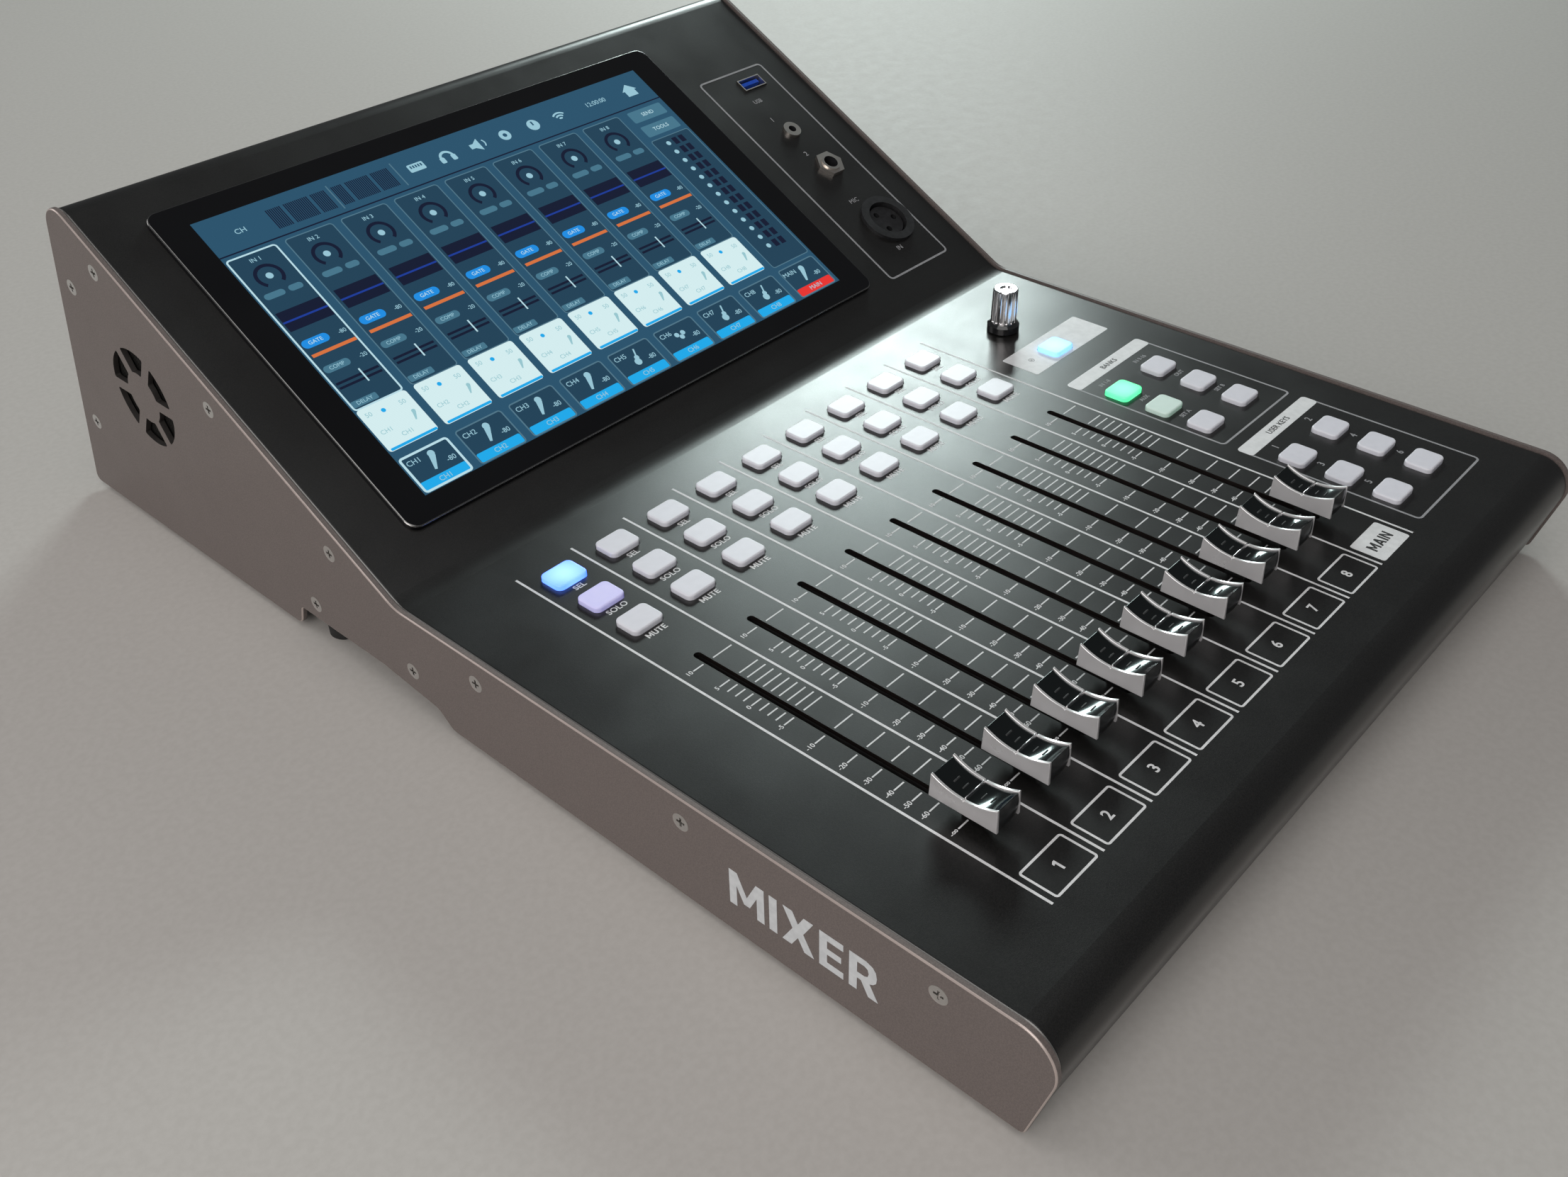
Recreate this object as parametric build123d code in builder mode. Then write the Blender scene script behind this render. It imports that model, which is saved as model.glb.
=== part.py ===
from build123d import *
import math
import os

# A compact digital audio mixing console: a folded sheet-metal case with a touch screen on a
# sloping rear deck, nine motor faders with three keys each, two six-key blocks, one single key
# and a rotary encoder.  Millimetres, +Z up, -Y towards the user.  The origin is on the table,
# midway across the width and midway between the front nose and the rear corner.

# ---------------------------------------------------------------- driving dimensions
case_width = 335.0
side_thickness = 2.0
sheet = 1.6
edge_proud = 0.8            # the side panels stand this far outside the folded sheets
deck_z = 41.5               # top of the control deck
case_bottom_z = 3.3         # underside of the base tray
front_corner_y = -226.6     # lower front corner of the folded sheets
rear_corner_y = 233.5       # lower rear corner of the folded sheets
front_lean = 14.7           # the front face leans out towards its top, degrees
rear_lean = 15.7            # the rear wall leans in towards its top, degrees
bend_y = 20.8               # where the flat deck turns into the screen slope
screen_tilt = 28.0
paint_gap = 0.1             # between a sheet and the side panel it is screwed to
hole_gap = 0.1              # round a part that sits in a panel hole

channel_pitch = 24.15
channel_count = 9           # eight channels and the main
first_line_x = -130.9       # printed line left of channel 1
slot_offset = 11.8          # from that line to the fader slot and the key centres
fader_travel = 100.0
fader_low_y = -173.5        # fader at the bottom of its travel
slot_width = 2.8
slot_overrun = 5.8          # slot past each end of the travel

key_width = 13.0
key_depth = 10.4
key_corner = 2.2
key_height = 1.8            # above the deck
key_gap = 0.2
key_travel = 1.2
key_pitch = 18.0
first_key_y = -7.2

block_x = 118.4             # encoder, single key and the middle of the two key blocks
block_half = 13.1
bank_first_y = -82.0
user_first_y = -155.5
home_key_y = -41.5
encoder_y = -15.4

glass_width = 243.3
glass_height = 155.3
glass_thickness = 2.0
glass_x = -23.1
glass_s = 98.1              # up the slope from the bend
display_width = 229.5
display_height = 148.5
display_depth = 7.0
glue_gap = 0.1              # between the cover glass and the display module

screw_radius = 1.5
screw_head_radius = 3.0
screw_clearance = 0.05
lip_depth = 17.0            # how far the folded lips reach inwards

os.makedirs("parts", exist_ok=True)


def tan_deg(angle):
    return math.tan(math.radians(angle))


def cos_deg(angle):
    return math.cos(math.radians(angle))


def sin_deg(angle):
    return math.sin(math.radians(angle))


def save(builder, name):
    builder.part.label = name
    export_step(builder.part, f"parts/{name}.step")


# ---------------------------------------------------------------- the case outline, seen from the side
inner_half = case_width / 2 - side_thickness
sheet_half = inner_half - paint_gap
nose_y = front_corner_y - (deck_z - case_bottom_z) * tan_deg(front_lean)
wall_y_at_deck = rear_corner_y - (deck_z - case_bottom_z) * tan_deg(rear_lean)
slope_rise = tan_deg(screen_tilt) / (1 + tan_deg(screen_tilt) * tan_deg(rear_lean))
crest_z = deck_z + (wall_y_at_deck - bend_y) * slope_rise
crest_y = rear_corner_y - (crest_z - case_bottom_z) * tan_deg(rear_lean)
arch_z = 12.3               # underside of the arch between the two resting ends
outline_corners = [         # y, z and the radius of the corner, from the front foot round over the top
    (front_corner_y, case_bottom_z, 1.5),
    (nose_y, deck_z, 11.5),
    (bend_y, deck_z, 16.0),
    (crest_y, crest_z, 9.0),
    (rear_corner_y, case_bottom_z, 2.0),
    (86.5, case_bottom_z, 3.0),
    (83.5, arch_z, 3.0),
    (34.0, arch_z, 20.0),
    (5.0, 9.0, 6.0),
    (-1.5, case_bottom_z, 5.0),
]


def case_section(inset):
    """The case outline in the YZ plane, moved inwards by inset (outwards if negative)."""
    with BuildSketch() as section:
        with BuildLine():
            FilletPolyline(
                [(y, z) for y, z, radius in outline_corners],
                radius=[radius for y, z, radius in outline_corners],
                close=True,
            )
        make_face()
        if inset:
            offset(amount=-inset, kind=Kind.INTERSECTION)
    return section.sketch


def shell_section(outer_inset, inner_inset):
    """A band of the case section between two insets, in the sketch plane's own axes."""
    with BuildSketch() as band:
        add(case_section(outer_inset))
        add(case_section(inner_inset), mode=Mode.SUBTRACT)
    return band.sketch


def rectangle_between(low, high):
    with BuildSketch() as area:
        with Locations(((low[0] + high[0]) / 2, (low[1] + high[1]) / 2)):
            Rectangle(high[0] - low[0], high[1] - low[1])
    return area.sketch


def lip_section(strips):
    """Folded lips in the section plane: each strip is (start, direction in degrees, length), and
    reaches lip_depth to the right of that direction, trimmed to the inside of the sheet."""
    with BuildSketch() as lips:
        for start, direction, length in strips:
            with Locations(Location((start[0], start[1], 0), direction)):
                Rectangle(length, lip_depth, align=(Align.MIN, Align.MAX))
        add(case_section(sheet / 2), mode=Mode.INTERSECT)
    return lips.sketch


def side_lips(strips):
    """The same folded lips along both ends of a sheet."""
    with BuildPart() as lips:
        for side in (-1, 1):
            lip_plane = Plane.YZ.offset(side * (sheet_half - sheet / 2))
            extrude(lip_plane * lip_section(strips), amount=sheet / 2, both=True)
    return lips.part


def screw_holes(places):
    """Clearance holes through both lips."""
    with BuildPart() as holes:
        for side in (-1, 1):
            with Locations(*[Plane.YZ * Location((y, z, side * sheet_half)) for y, z in places]):
                Cylinder(screw_radius + screw_clearance, 4 * sheet)
    return holes.part


slope_plane = Plane(
    origin=(0, bend_y, deck_z),
    x_dir=(1, 0, 0),
    z_dir=(0, -sin_deg(screen_tilt), cos_deg(screen_tilt)),
)
rear_plane = Plane(
    origin=(0, rear_corner_y, case_bottom_z),
    x_dir=(-1, 0, 0),
    z_dir=(0, cos_deg(rear_lean), sin_deg(rear_lean)),
)


def strip_x(channel):
    return first_line_x + channel_pitch * channel + slot_offset


strip_centres = [strip_x(channel) for channel in range(channel_count)]
strip_names = [str(channel + 1) for channel in range(channel_count - 1)] + ["main"]
key_rows = {"sel": first_key_y, "solo": first_key_y - key_pitch, "mute": first_key_y - 2 * key_pitch}

key_places = {}
for row_name, row_y in key_rows.items():
    for strip_name, centre_x in zip(strip_names, strip_centres):
        key_places[f"{row_name}_key_{strip_name}"] = (centre_x, row_y)
for block_name, first_y in {"bank": bank_first_y, "user": user_first_y}.items():
    for number in range(6):
        column, row = number % 2, number // 2
        centre_x = block_x - block_half + 2 * block_half * column
        key_places[f"{block_name}_key_{number + 1}"] = (centre_x, first_y - key_pitch * row)
key_places["home_key"] = (block_x, home_key_y)

# ---------------------------------------------------------------- screws that hold the sides on
deck_screws = [(-199.0, 33.4), (-109.2, 33.0), (-19.1, 33.0), (53.9, 48.6), (113.5, 80.9), (173.4, 113.0)]
tray_screws = [(16.4, 18.6), (71.7, 18.6), (214.5, 37.4), (196.3, 100.4)]
screw_places = deck_screws + tray_screws

# ---------------------------------------------------------------- top panel
front_seam_y = -224.2       # the front face belongs to the top panel, the floor behind it to the tray
rear_seam_z = 118.0         # the crest belongs to the top panel, the wall below it to the tray
seam_gap = 0.4
between_z = 24.0            # a height between the case's underside and its deck
crest_front_y = 186.0
far = 400.0
long_edge = 60.0
tolerance = 0.01
fold_edge_radius = 1.3
deck_lip_start = (-213.0, deck_z)
deck_lip_length = 217.3
slope_lip_offset = 18.0
slope_lip_start = (
    bend_y + slope_lip_offset * cos_deg(screen_tilt),
    deck_z + slope_lip_offset * sin_deg(screen_tilt),
)
slope_lip_length = 160.0
usb_spot = (137.0, 139.0)   # spots on the slope: across, and up from the bend
mini_jack_spot = (133.0, 107.5)
jack_spot = (134.5, 83.5)
talkback_spot = (136.0, 46.5)
usb_size = (14.4, 7.2)
mini_jack_radius = 3.0
jack_radius = 4.6
talkback_radius = 11.2
display_room = 1.25
bush_radius = 3.5
slot_length = fader_travel + 2 * slot_overrun
slot_y = fader_low_y + fader_travel / 2


def on_outer_face(edge):
    """True for an edge that lies on top of the deck or of the screen slope."""
    centre = edge.center()
    surface_z = deck_z + max(0, centre.Y - bend_y) * tan_deg(screen_tilt)
    return centre.Z > surface_z - sheet / 3


with BuildPart() as top_panel:
    with BuildSketch(Plane.YZ):
        add(shell_section(0, sheet))
        add(rectangle_between((front_seam_y, -far), (far, between_z)), mode=Mode.SUBTRACT)
        add(rectangle_between((crest_front_y, -far), (far, rear_seam_z + seam_gap)), mode=Mode.SUBTRACT)
    extrude(amount=sheet_half, both=True)
    end_edges = top_panel.edges().filter_by(GeomType.LINE).filter_by(
        lambda edge: abs(abs(edge.center().X) - sheet_half) < tolerance and edge.length > long_edge
    )
    fillet(end_edges.filter_by(on_outer_face), fold_edge_radius)
    add(side_lips([(deck_lip_start, 0, deck_lip_length), (slope_lip_start, screen_tilt, slope_lip_length)]))
    add(screw_holes(deck_screws), mode=Mode.SUBTRACT)
    with BuildSketch(Plane.XY.offset(deck_z)):
        with Locations(*[(x, slot_y) for x in strip_centres]):
            SlotOverall(slot_length, slot_width, rotation=90)
        with Locations(*key_places.values()):
            RectangleRounded(key_width + 2 * key_gap, key_depth + 2 * key_gap, key_corner + key_gap)
        with Locations((block_x, encoder_y)):
            Circle(bush_radius + hole_gap)
    extrude(amount=-2 * sheet, mode=Mode.SUBTRACT)
    with BuildSketch(slope_plane):
        with Locations((glass_x, glass_s)):
            Rectangle(display_width + 2 * display_room, display_height + 2 * display_room)
        with Locations(usb_spot):
            Rectangle(*usb_size)
        for spot, radius in ((mini_jack_spot, mini_jack_radius), (jack_spot, jack_radius),
                             (talkback_spot, talkback_radius)):
            with Locations(spot):
                Circle(radius + hole_gap)
    extrude(amount=-2 * sheet, mode=Mode.SUBTRACT)
save(top_panel, "top_panel")

# ---------------------------------------------------------------- base tray with the rear wall
xlr_radius = 11.8
xlr_pitch = 33.0
line_jack_pitch = 22.0
first_line_jack = 16.5
upper_row = 92.0            # heights up the rear wall
lower_row = 54.0
input_spots = [((index - 3.5) * xlr_pitch, upper_row) for index in range(8)]
output_spots = [((index - 3.5) * xlr_pitch, lower_row) for index in range(4)]
line_spots = [(first_line_jack + index * line_jack_pitch, lower_row) for index in range(5)]
rear_ports = [              # spot on the rear wall, and size
    ((60.0, 19.0), (16.0, 14.0)),       # network
    ((32.0, 19.0), (12.4, 11.2)),       # computer
    ((-103.0, 20.0), (28.0, 21.0)),     # mains inlet
]
fit_gap = 0.3
wall_lip_offset = 9.0
wall_lip_start = (
    rear_corner_y - wall_lip_offset * sin_deg(rear_lean),
    case_bottom_z + wall_lip_offset * cos_deg(rear_lean),
)
wall_lip_length = 98.0
arch_lip_start = (80.0, arch_z - 2.0)
arch_lip_length = 72.0

with BuildPart() as base_tray:
    with BuildSketch(Plane.YZ):
        add(shell_section(0, sheet))
        add(rectangle_between((-far, -far), (front_seam_y + seam_gap, far)), mode=Mode.SUBTRACT)
        add(rectangle_between((-far, between_z), (crest_front_y, far)), mode=Mode.SUBTRACT)
        add(rectangle_between((-far, rear_seam_z), (far, far)), mode=Mode.SUBTRACT)
    extrude(amount=sheet_half, both=True)
    arch_lip = (arch_lip_start, 180, arch_lip_length)
    wall_lip = (wall_lip_start, 90 + rear_lean, wall_lip_length)
    add(side_lips([arch_lip, wall_lip]))
    add(screw_holes(tray_screws), mode=Mode.SUBTRACT)
    with BuildSketch(rear_plane):
        with Locations(*input_spots, *output_spots):
            Circle(xlr_radius + fit_gap)
        with Locations(*line_spots):
            Circle(jack_radius + hole_gap)
        for spot, size in rear_ports:
            with Locations(spot):
                Rectangle(size[0] + 2 * fit_gap, size[1] + 2 * fit_gap)
    extrude(amount=-2 * sheet, mode=Mode.SUBTRACT)
save(base_tray, "base_tray")

# ---------------------------------------------------------------- side panels
vent_centre = (163.2, 67.1)
vent_inner_radius = 10.0
vent_outer_radius = 19.2
vent_bar = 4.2
vent_corner = 0.8
side_edge_radius = 0.7


def vent_sketch():
    """A ring of six openings split by three bars, the first one level."""
    with BuildSketch() as vent:
        Circle(vent_outer_radius)
        Circle(vent_inner_radius, mode=Mode.SUBTRACT)
        for angle in (0, 60, 120):
            Rectangle(2.5 * vent_outer_radius, vent_bar, rotation=angle, mode=Mode.SUBTRACT)
        fillet(vent.vertices(), vent_corner)
    return vent.sketch


with BuildPart() as side_panel_right:
    with BuildSketch(Plane.YZ.offset(inner_half)):
        add(case_section(-edge_proud))
    extrude(amount=side_thickness)
    outer_face = side_panel_right.faces().sort_by(Axis.X)[-1]
    fillet(outer_face.edges(), side_edge_radius)
    with Locations(*[Plane.YZ * Location((y, z, case_width / 2)) for y, z in screw_places]):
        CounterSinkHole(
            screw_radius + screw_clearance,
            screw_head_radius + screw_clearance,
            depth=2 * side_thickness,
            counter_sink_angle=90,
        )
    with BuildSketch(Plane.YZ.offset(case_width / 2)):
        with Locations(vent_centre):
            add(vent_sketch())
    extrude(amount=-2 * side_thickness, mode=Mode.SUBTRACT)
save(side_panel_right, "side_panel_right")

with BuildPart() as side_panel_left:
    mirror(side_panel_right.part, about=Plane.YZ)
save(side_panel_left, "side_panel_left")

# ---------------------------------------------------------------- case screws
screw_length = 8.0
head_height = screw_head_radius - screw_radius
recess_length = 3.2
recess_width = 0.8
recess_depth = 1.2

with BuildPart() as case_screw:
    with BuildSketch(Plane.XZ):
        with BuildLine():
            Polyline(
                (0, 0),
                (screw_head_radius, 0),
                (screw_radius, -head_height),
                (screw_radius, -screw_length),
                (0, -screw_length),
                close=True,
            )
        make_face()
    revolve(axis=Axis.Z)
    with BuildSketch(Plane.XY):
        Rectangle(recess_length, recess_width)
        Rectangle(recess_width, recess_length)
    extrude(amount=-recess_depth, mode=Mode.SUBTRACT)

with BuildPart() as case_screws:
    with Locations(*[Plane.YZ * Location((y, z, case_width / 2)) for y, z in screw_places]):
        add(case_screw.part)
    mirror(case_screws.part, about=Plane.YZ)
save(case_screws, "case_screws")

# ---------------------------------------------------------------- rubber feet
foot_radius = 6.0
foot_chamfer = 0.6
corner_feet = [(-150.0, -205.0), (150.0, -205.0), (-150.0, 214.0), (150.0, 214.0)]
arch_feet = [(-157.5, 73.5), (157.5, 73.5)]

with BuildPart() as rubber_feet:
    for spots, height in ((corner_feet, case_bottom_z), (arch_feet, arch_z)):
        with BuildSketch(Plane.XY):
            with Locations(*spots):
                Circle(foot_radius)
        extrude(amount=height)
    resting_faces = rubber_feet.faces().filter_by(lambda face: abs(face.center().Z) < tolerance)
    chamfer(resting_faces.edges(), foot_chamfer)
save(rubber_feet, "rubber_feet")

# ---------------------------------------------------------------- touch screen: cover glass and display
glass_corner = 5.0
glass_edge_radius = 0.8

with BuildPart() as touch_screen:
    with BuildSketch(slope_plane):
        with Locations((glass_x, glass_s)):
            RectangleRounded(glass_width, glass_height, glass_corner)
    extrude(amount=glass_thickness)
    slope_axis = Axis(slope_plane.origin, slope_plane.z_dir)
    fillet(touch_screen.faces().sort_by(slope_axis)[-1].edges(), glass_edge_radius)
    with BuildSketch(slope_plane.offset(-glue_gap)):
        with Locations((glass_x, glass_s)):
            Rectangle(display_width, display_height)
    extrude(amount=-display_depth)
save(touch_screen, "touch_screen")

# ---------------------------------------------------------------- keys
collar_overlap = 1.0        # how far the hidden collar reaches under the deck
collar_thickness = 1.0
collar_top_z = deck_z - sheet - paint_gap
collar_bottom_z = collar_top_z - collar_thickness
key_edge_radius = 0.6
stem_side = 3.0
board_z = 29.4
board_thickness = 1.6
switch_side = 6.0
switch_height = 3.6
switch_top_z = board_z + board_thickness + switch_height
key_stem_z = switch_top_z + key_travel + 0.1

with BuildPart() as key_cap:
    with BuildSketch(Plane.XY.offset(collar_bottom_z)):
        RectangleRounded(key_width, key_depth, key_corner)
    extrude(amount=deck_z + key_height - collar_bottom_z)
    fillet(key_cap.faces().sort_by(Axis.Z)[-1].edges(), key_edge_radius)
    with BuildSketch(Plane.XY.offset(collar_bottom_z)):
        RectangleRounded(key_width + 2 * collar_overlap, key_depth + 2 * collar_overlap, key_corner)
    extrude(amount=collar_thickness)
    with BuildSketch(Plane.XY.offset(key_stem_z)):
        Rectangle(stem_side, stem_side)
    extrude(amount=collar_bottom_z - key_stem_z)

for key_name, (key_x, key_y) in key_places.items():
    with BuildPart() as key:
        with Locations((key_x, key_y, 0)):
            add(key_cap.part)
    save(key, key_name)

# ---------------------------------------------------------------- faders: cap, stem and slider in one piece
cap_width = 10.8
cap_bottom = 4.5            # heights above the deck
cap_bulge_z = 8.4
cap_rim_z = 12.8
cap_saddle_z = 9.9
cap_foot_half = 11.2        # half lengths along the travel
cap_bulge_half = 12.3
cap_rim_half = 10.9
stem_bottom = 1.8
stem_size = (3.4, 9.0)
stem_corner = 0.8
blade_thickness = 1.2
blade_length = 7.0
slider_width = 8.6
slider_length = 14.0
slider_height = 3.4
track_floor_z = board_z + board_thickness
slider_z = track_floor_z + 0.4       # clear of the track's floor and of its roof
slider_top = slider_z + slider_height - deck_z

with BuildPart() as fader_cap:
    with BuildSketch(Plane.YZ):
        with BuildLine():
            Line((-cap_foot_half, cap_bottom), (cap_foot_half, cap_bottom))
            ThreePointArc(
                (cap_foot_half, cap_bottom), (cap_bulge_half, cap_bulge_z), (cap_rim_half, cap_rim_z)
            )
            ThreePointArc((cap_rim_half, cap_rim_z), (0, cap_saddle_z), (-cap_rim_half, cap_rim_z))
            ThreePointArc(
                (-cap_rim_half, cap_rim_z), (-cap_bulge_half, cap_bulge_z), (-cap_foot_half, cap_bottom)
            )
        make_face()
    extrude(amount=cap_width / 2, both=True)
    with BuildSketch(Plane.XY.offset(stem_bottom)):
        RectangleRounded(*stem_size, stem_corner)
    extrude(amount=cap_bottom - stem_bottom)
    with BuildSketch(Plane.XY.offset(slider_top)):
        Rectangle(blade_thickness, blade_length)
    extrude(amount=stem_bottom - slider_top)
    with BuildSketch(Plane.XY.offset(slider_z - deck_z)):
        Rectangle(slider_width, slider_length)
    extrude(amount=slider_height)

for strip_name, strip_centre in zip(strip_names, strip_centres):
    with BuildPart() as fader:
        with Locations((strip_centre, fader_low_y, deck_z)):
            add(fader_cap.part)
    save(fader, f"fader_{strip_name}")

# ---------------------------------------------------------------- fader tracks and their motors
track_width = 13.0
track_rear_y = -57.0
track_front_y = -190.0
track_top_z = deck_z - sheet
slider_room = 0.4
end_room = 1.5
cavity_width = slider_width + 2 * slider_room
cavity_length = fader_travel + slider_length + 2 * end_room
cavity_height = slider_height + 2 * slider_room
motor_gap = 0.2
motor_radius = 10.0
motor_height = 16.0
motor_y = -68.0

with BuildPart() as fader_tracks:
    with BuildSketch(Plane.XY.offset(board_z)):
        for strip_centre in strip_centres:
            with Locations((strip_centre, (track_front_y + track_rear_y) / 2)):
                Rectangle(track_width, track_rear_y - track_front_y)
    extrude(amount=track_top_z - board_z)
    with BuildSketch(Plane.XY.offset(track_floor_z)):
        with Locations(*[(x, slot_y) for x in strip_centres]):
            Rectangle(cavity_width, cavity_length)
    extrude(amount=cavity_height, mode=Mode.SUBTRACT)
    with BuildSketch(Plane.XY.offset(track_floor_z)):
        with Locations(*[(x, slot_y) for x in strip_centres]):
            Rectangle(slot_width, slot_length)
    extrude(amount=far, mode=Mode.SUBTRACT)
    with BuildSketch(Plane.XY.offset(board_z - motor_gap)):
        with Locations(*[(x, motor_y) for x in strip_centres]):
            Circle(motor_radius)
    extrude(amount=-motor_height)
save(fader_tracks, "fader_tracks")

# ---------------------------------------------------------------- rotary encoder knob and shaft
knob_radius = 5.4
knob_skirt_radius = 6.7
knob_base_z = deck_z + 0.6
knob_top_z = deck_z + 19.0
skirt_height = 3.6
skirt_slope = 1.0
knob_taper = 0.2
knob_chamfer = 0.6
dimple_radius = 2.6
dimple_depth = 0.7
shaft_radius = 3.0
shaft_clearance = 0.05
shaft_bottom_z = 35.0
nut_room_radius = 5.9
nut_room_height = 2.6
flute_count = 16
flute_radius = 0.7
flute_offset = 0.25         # flute centres outside the knob's surface
flute_start = 0.6           # above the skirt

with BuildPart() as encoder_knob:
    with BuildSketch(Plane.XZ):
        with BuildLine():
            Polyline(
                (0, knob_base_z),
                (knob_skirt_radius, knob_base_z),
                (knob_skirt_radius, knob_base_z + skirt_height - skirt_slope),
                (knob_radius, knob_base_z + skirt_height),
                (knob_radius - knob_taper, knob_top_z),
                (0, knob_top_z),
                close=True,
            )
        make_face()
    revolve(axis=Axis.Z)
    chamfer(encoder_knob.faces().sort_by(Axis.Z)[-1].edges(), knob_chamfer)
    with BuildSketch(Plane.XY.offset(knob_base_z + skirt_height + flute_start)):
        with PolarLocations(knob_radius + flute_offset, flute_count):
            Circle(flute_radius)
    extrude(amount=far, mode=Mode.SUBTRACT)
    with Locations((0, 0, knob_top_z)):
        Hole(dimple_radius, dimple_depth)
    with BuildSketch(Plane.XY.offset(knob_base_z)):
        Circle(nut_room_radius)
    extrude(amount=nut_room_height, mode=Mode.SUBTRACT)
    with BuildSketch(Plane.XY.offset(shaft_bottom_z)):
        Circle(shaft_radius)
    extrude(amount=knob_base_z + nut_room_height - shaft_bottom_z)

with BuildPart() as placed_knob:
    with Locations((block_x, encoder_y, 0)):
        add(encoder_knob.part)
save(placed_knob, "encoder_knob")

# ---------------------------------------------------------------- circuit boards, power unit, encoder body
key_board = ((-144.0, -54.0), (90.0, 6.0))
block_board = ((92.5, -207.0), (150.0, -4.0))
main_board = ((-140.0, 66.0), (70.0, 186.0))
main_board_z = 24.0
power_unit = ((80.0, 70.0), (150.0, 190.0))
power_unit_height = 28.0
standoff_z = arch_z + sheet + 1.0
post_radius = 3.0
post_places = [(x, y) for x in (-130.0, 60.0) for y in (76.0, 176.0)]
encoder_body_side = 12.5
encoder_body_top_z = deck_z - sheet - 0.2
encoder_nut_radius = 5.4
encoder_nut_height = 1.8
bush_top_z = deck_z + 2.8
shaft_end_room = 0.3
board_top_z = board_z + board_thickness

with BuildPart() as circuit_boards:
    with BuildSketch(Plane.XY.offset(board_z)):
        add(rectangle_between(*key_board))
        add(rectangle_between(*block_board))
    extrude(amount=board_thickness)
    with BuildSketch(Plane.XY.offset(main_board_z)):
        add(rectangle_between(*main_board))
    extrude(amount=board_thickness)
    with BuildSketch(Plane.XY.offset(board_top_z)):
        with Locations(*key_places.values()):
            Rectangle(switch_side, switch_side)
    extrude(amount=switch_height)
    with BuildSketch(Plane.XY.offset(board_top_z)):
        with Locations((block_x, encoder_y)):
            Rectangle(encoder_body_side, encoder_body_side)
    extrude(amount=encoder_body_top_z - board_top_z)
    with BuildSketch(Plane.XY.offset(board_top_z)):
        with Locations((block_x, encoder_y)):
            Circle(bush_radius)
    extrude(amount=bush_top_z - board_top_z)
    with BuildSketch(Plane.XY.offset(shaft_bottom_z - shaft_end_room)):
        with Locations((block_x, encoder_y)):
            Circle(shaft_radius + shaft_clearance)
    extrude(amount=far, mode=Mode.SUBTRACT)
    with BuildSketch(Plane.XY.offset(deck_z)):
        with Locations((block_x, encoder_y)):
            RegularPolygon(encoder_nut_radius, 6)
            Circle(bush_radius, mode=Mode.SUBTRACT)
    extrude(amount=encoder_nut_height)
    with BuildSketch(Plane.XY.offset(standoff_z)):
        with Locations(*post_places):
            Circle(post_radius)
    extrude(amount=main_board_z - standoff_z)
    with BuildSketch(Plane.XY.offset(standoff_z)):
        add(rectangle_between(*power_unit))
    extrude(amount=power_unit_height)
save(circuit_boards, "circuit_boards")

# ---------------------------------------------------------------- panel sockets, top and rear
# Each kind of socket is built on the XY plane, where z is the way out of the panel, and then placed.
flange_size = (26.0, 31.0)
flange_corner = 2.5
flange_thickness = 1.6
round_flange_rim = 1.6
socket_depth = 20.0
well_depth = 9.0
xlr_wall = 2.4
talkback_wall = 2.2
talkback_core_radius = 8.2
core_height = 7.0
pin_radius = 1.4
pin_height = 8.0
latch_radius = 3.3


def round_socket(flange, radius, wall):
    """The shell of a round socket: a flange, a round body behind it and an open well in its middle."""
    with BuildPart() as shell:
        add(flange)
        extrude(amount=flange_thickness)
        with BuildSketch(Plane.XY.offset(flange_thickness)):
            Circle(radius)
        extrude(amount=-socket_depth)
        with BuildSketch(Plane.XY.offset(flange_thickness)):
            Circle(radius - wall)
        extrude(amount=-well_depth, mode=Mode.SUBTRACT)
    return shell.part


def round_core(radius, hole_circle, latch=None):
    """The moulding inside a socket with holes for three pins, and room for a latch if it has one."""
    with BuildPart() as core:
        with BuildSketch(Plane.XY.offset(flange_thickness - well_depth)):
            Circle(radius)
            with PolarLocations(hole_circle, 3):
                Circle(pin_radius, mode=Mode.SUBTRACT)
            if latch:
                Circle(latch, mode=Mode.SUBTRACT)
        extrude(amount=core_height)
    return core.part


def place_on(plane, spots):
    """Locations for spots given in a plane's own axes."""
    return Locations(*[plane * Location((x, y, 0)) for x, y in spots])


with BuildSketch() as square_flange:
    RectangleRounded(*flange_size, flange_corner)

with BuildSketch() as round_flange:
    Circle(talkback_radius + round_flange_rim)

with BuildPart() as input_socket:
    add(round_socket(square_flange.sketch, xlr_radius, xlr_wall))
    add(round_core(xlr_radius - xlr_wall, 6.0, latch_radius))

with BuildPart() as output_socket:
    add(round_socket(square_flange.sketch, xlr_radius, xlr_wall))
    with BuildSketch(Plane.XY.offset(flange_thickness - well_depth)):
        with PolarLocations(5.2, 3):
            Circle(pin_radius)
    extrude(amount=pin_height)

with BuildPart() as talkback_socket:
    add(round_socket(round_flange.sketch, talkback_radius, talkback_wall))
    add(round_core(talkback_core_radius, 5.0))

jack_nut_radius = 7.0
jack_nut_height = 1.8
jack_top = 2.4
jack_neck = 7.0
jack_bore = 3.3
jack_bore_depth = 14.0
jack_body = (15.0, 17.0)
jack_body_depth = 16.0
body_gap = 0.2

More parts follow.
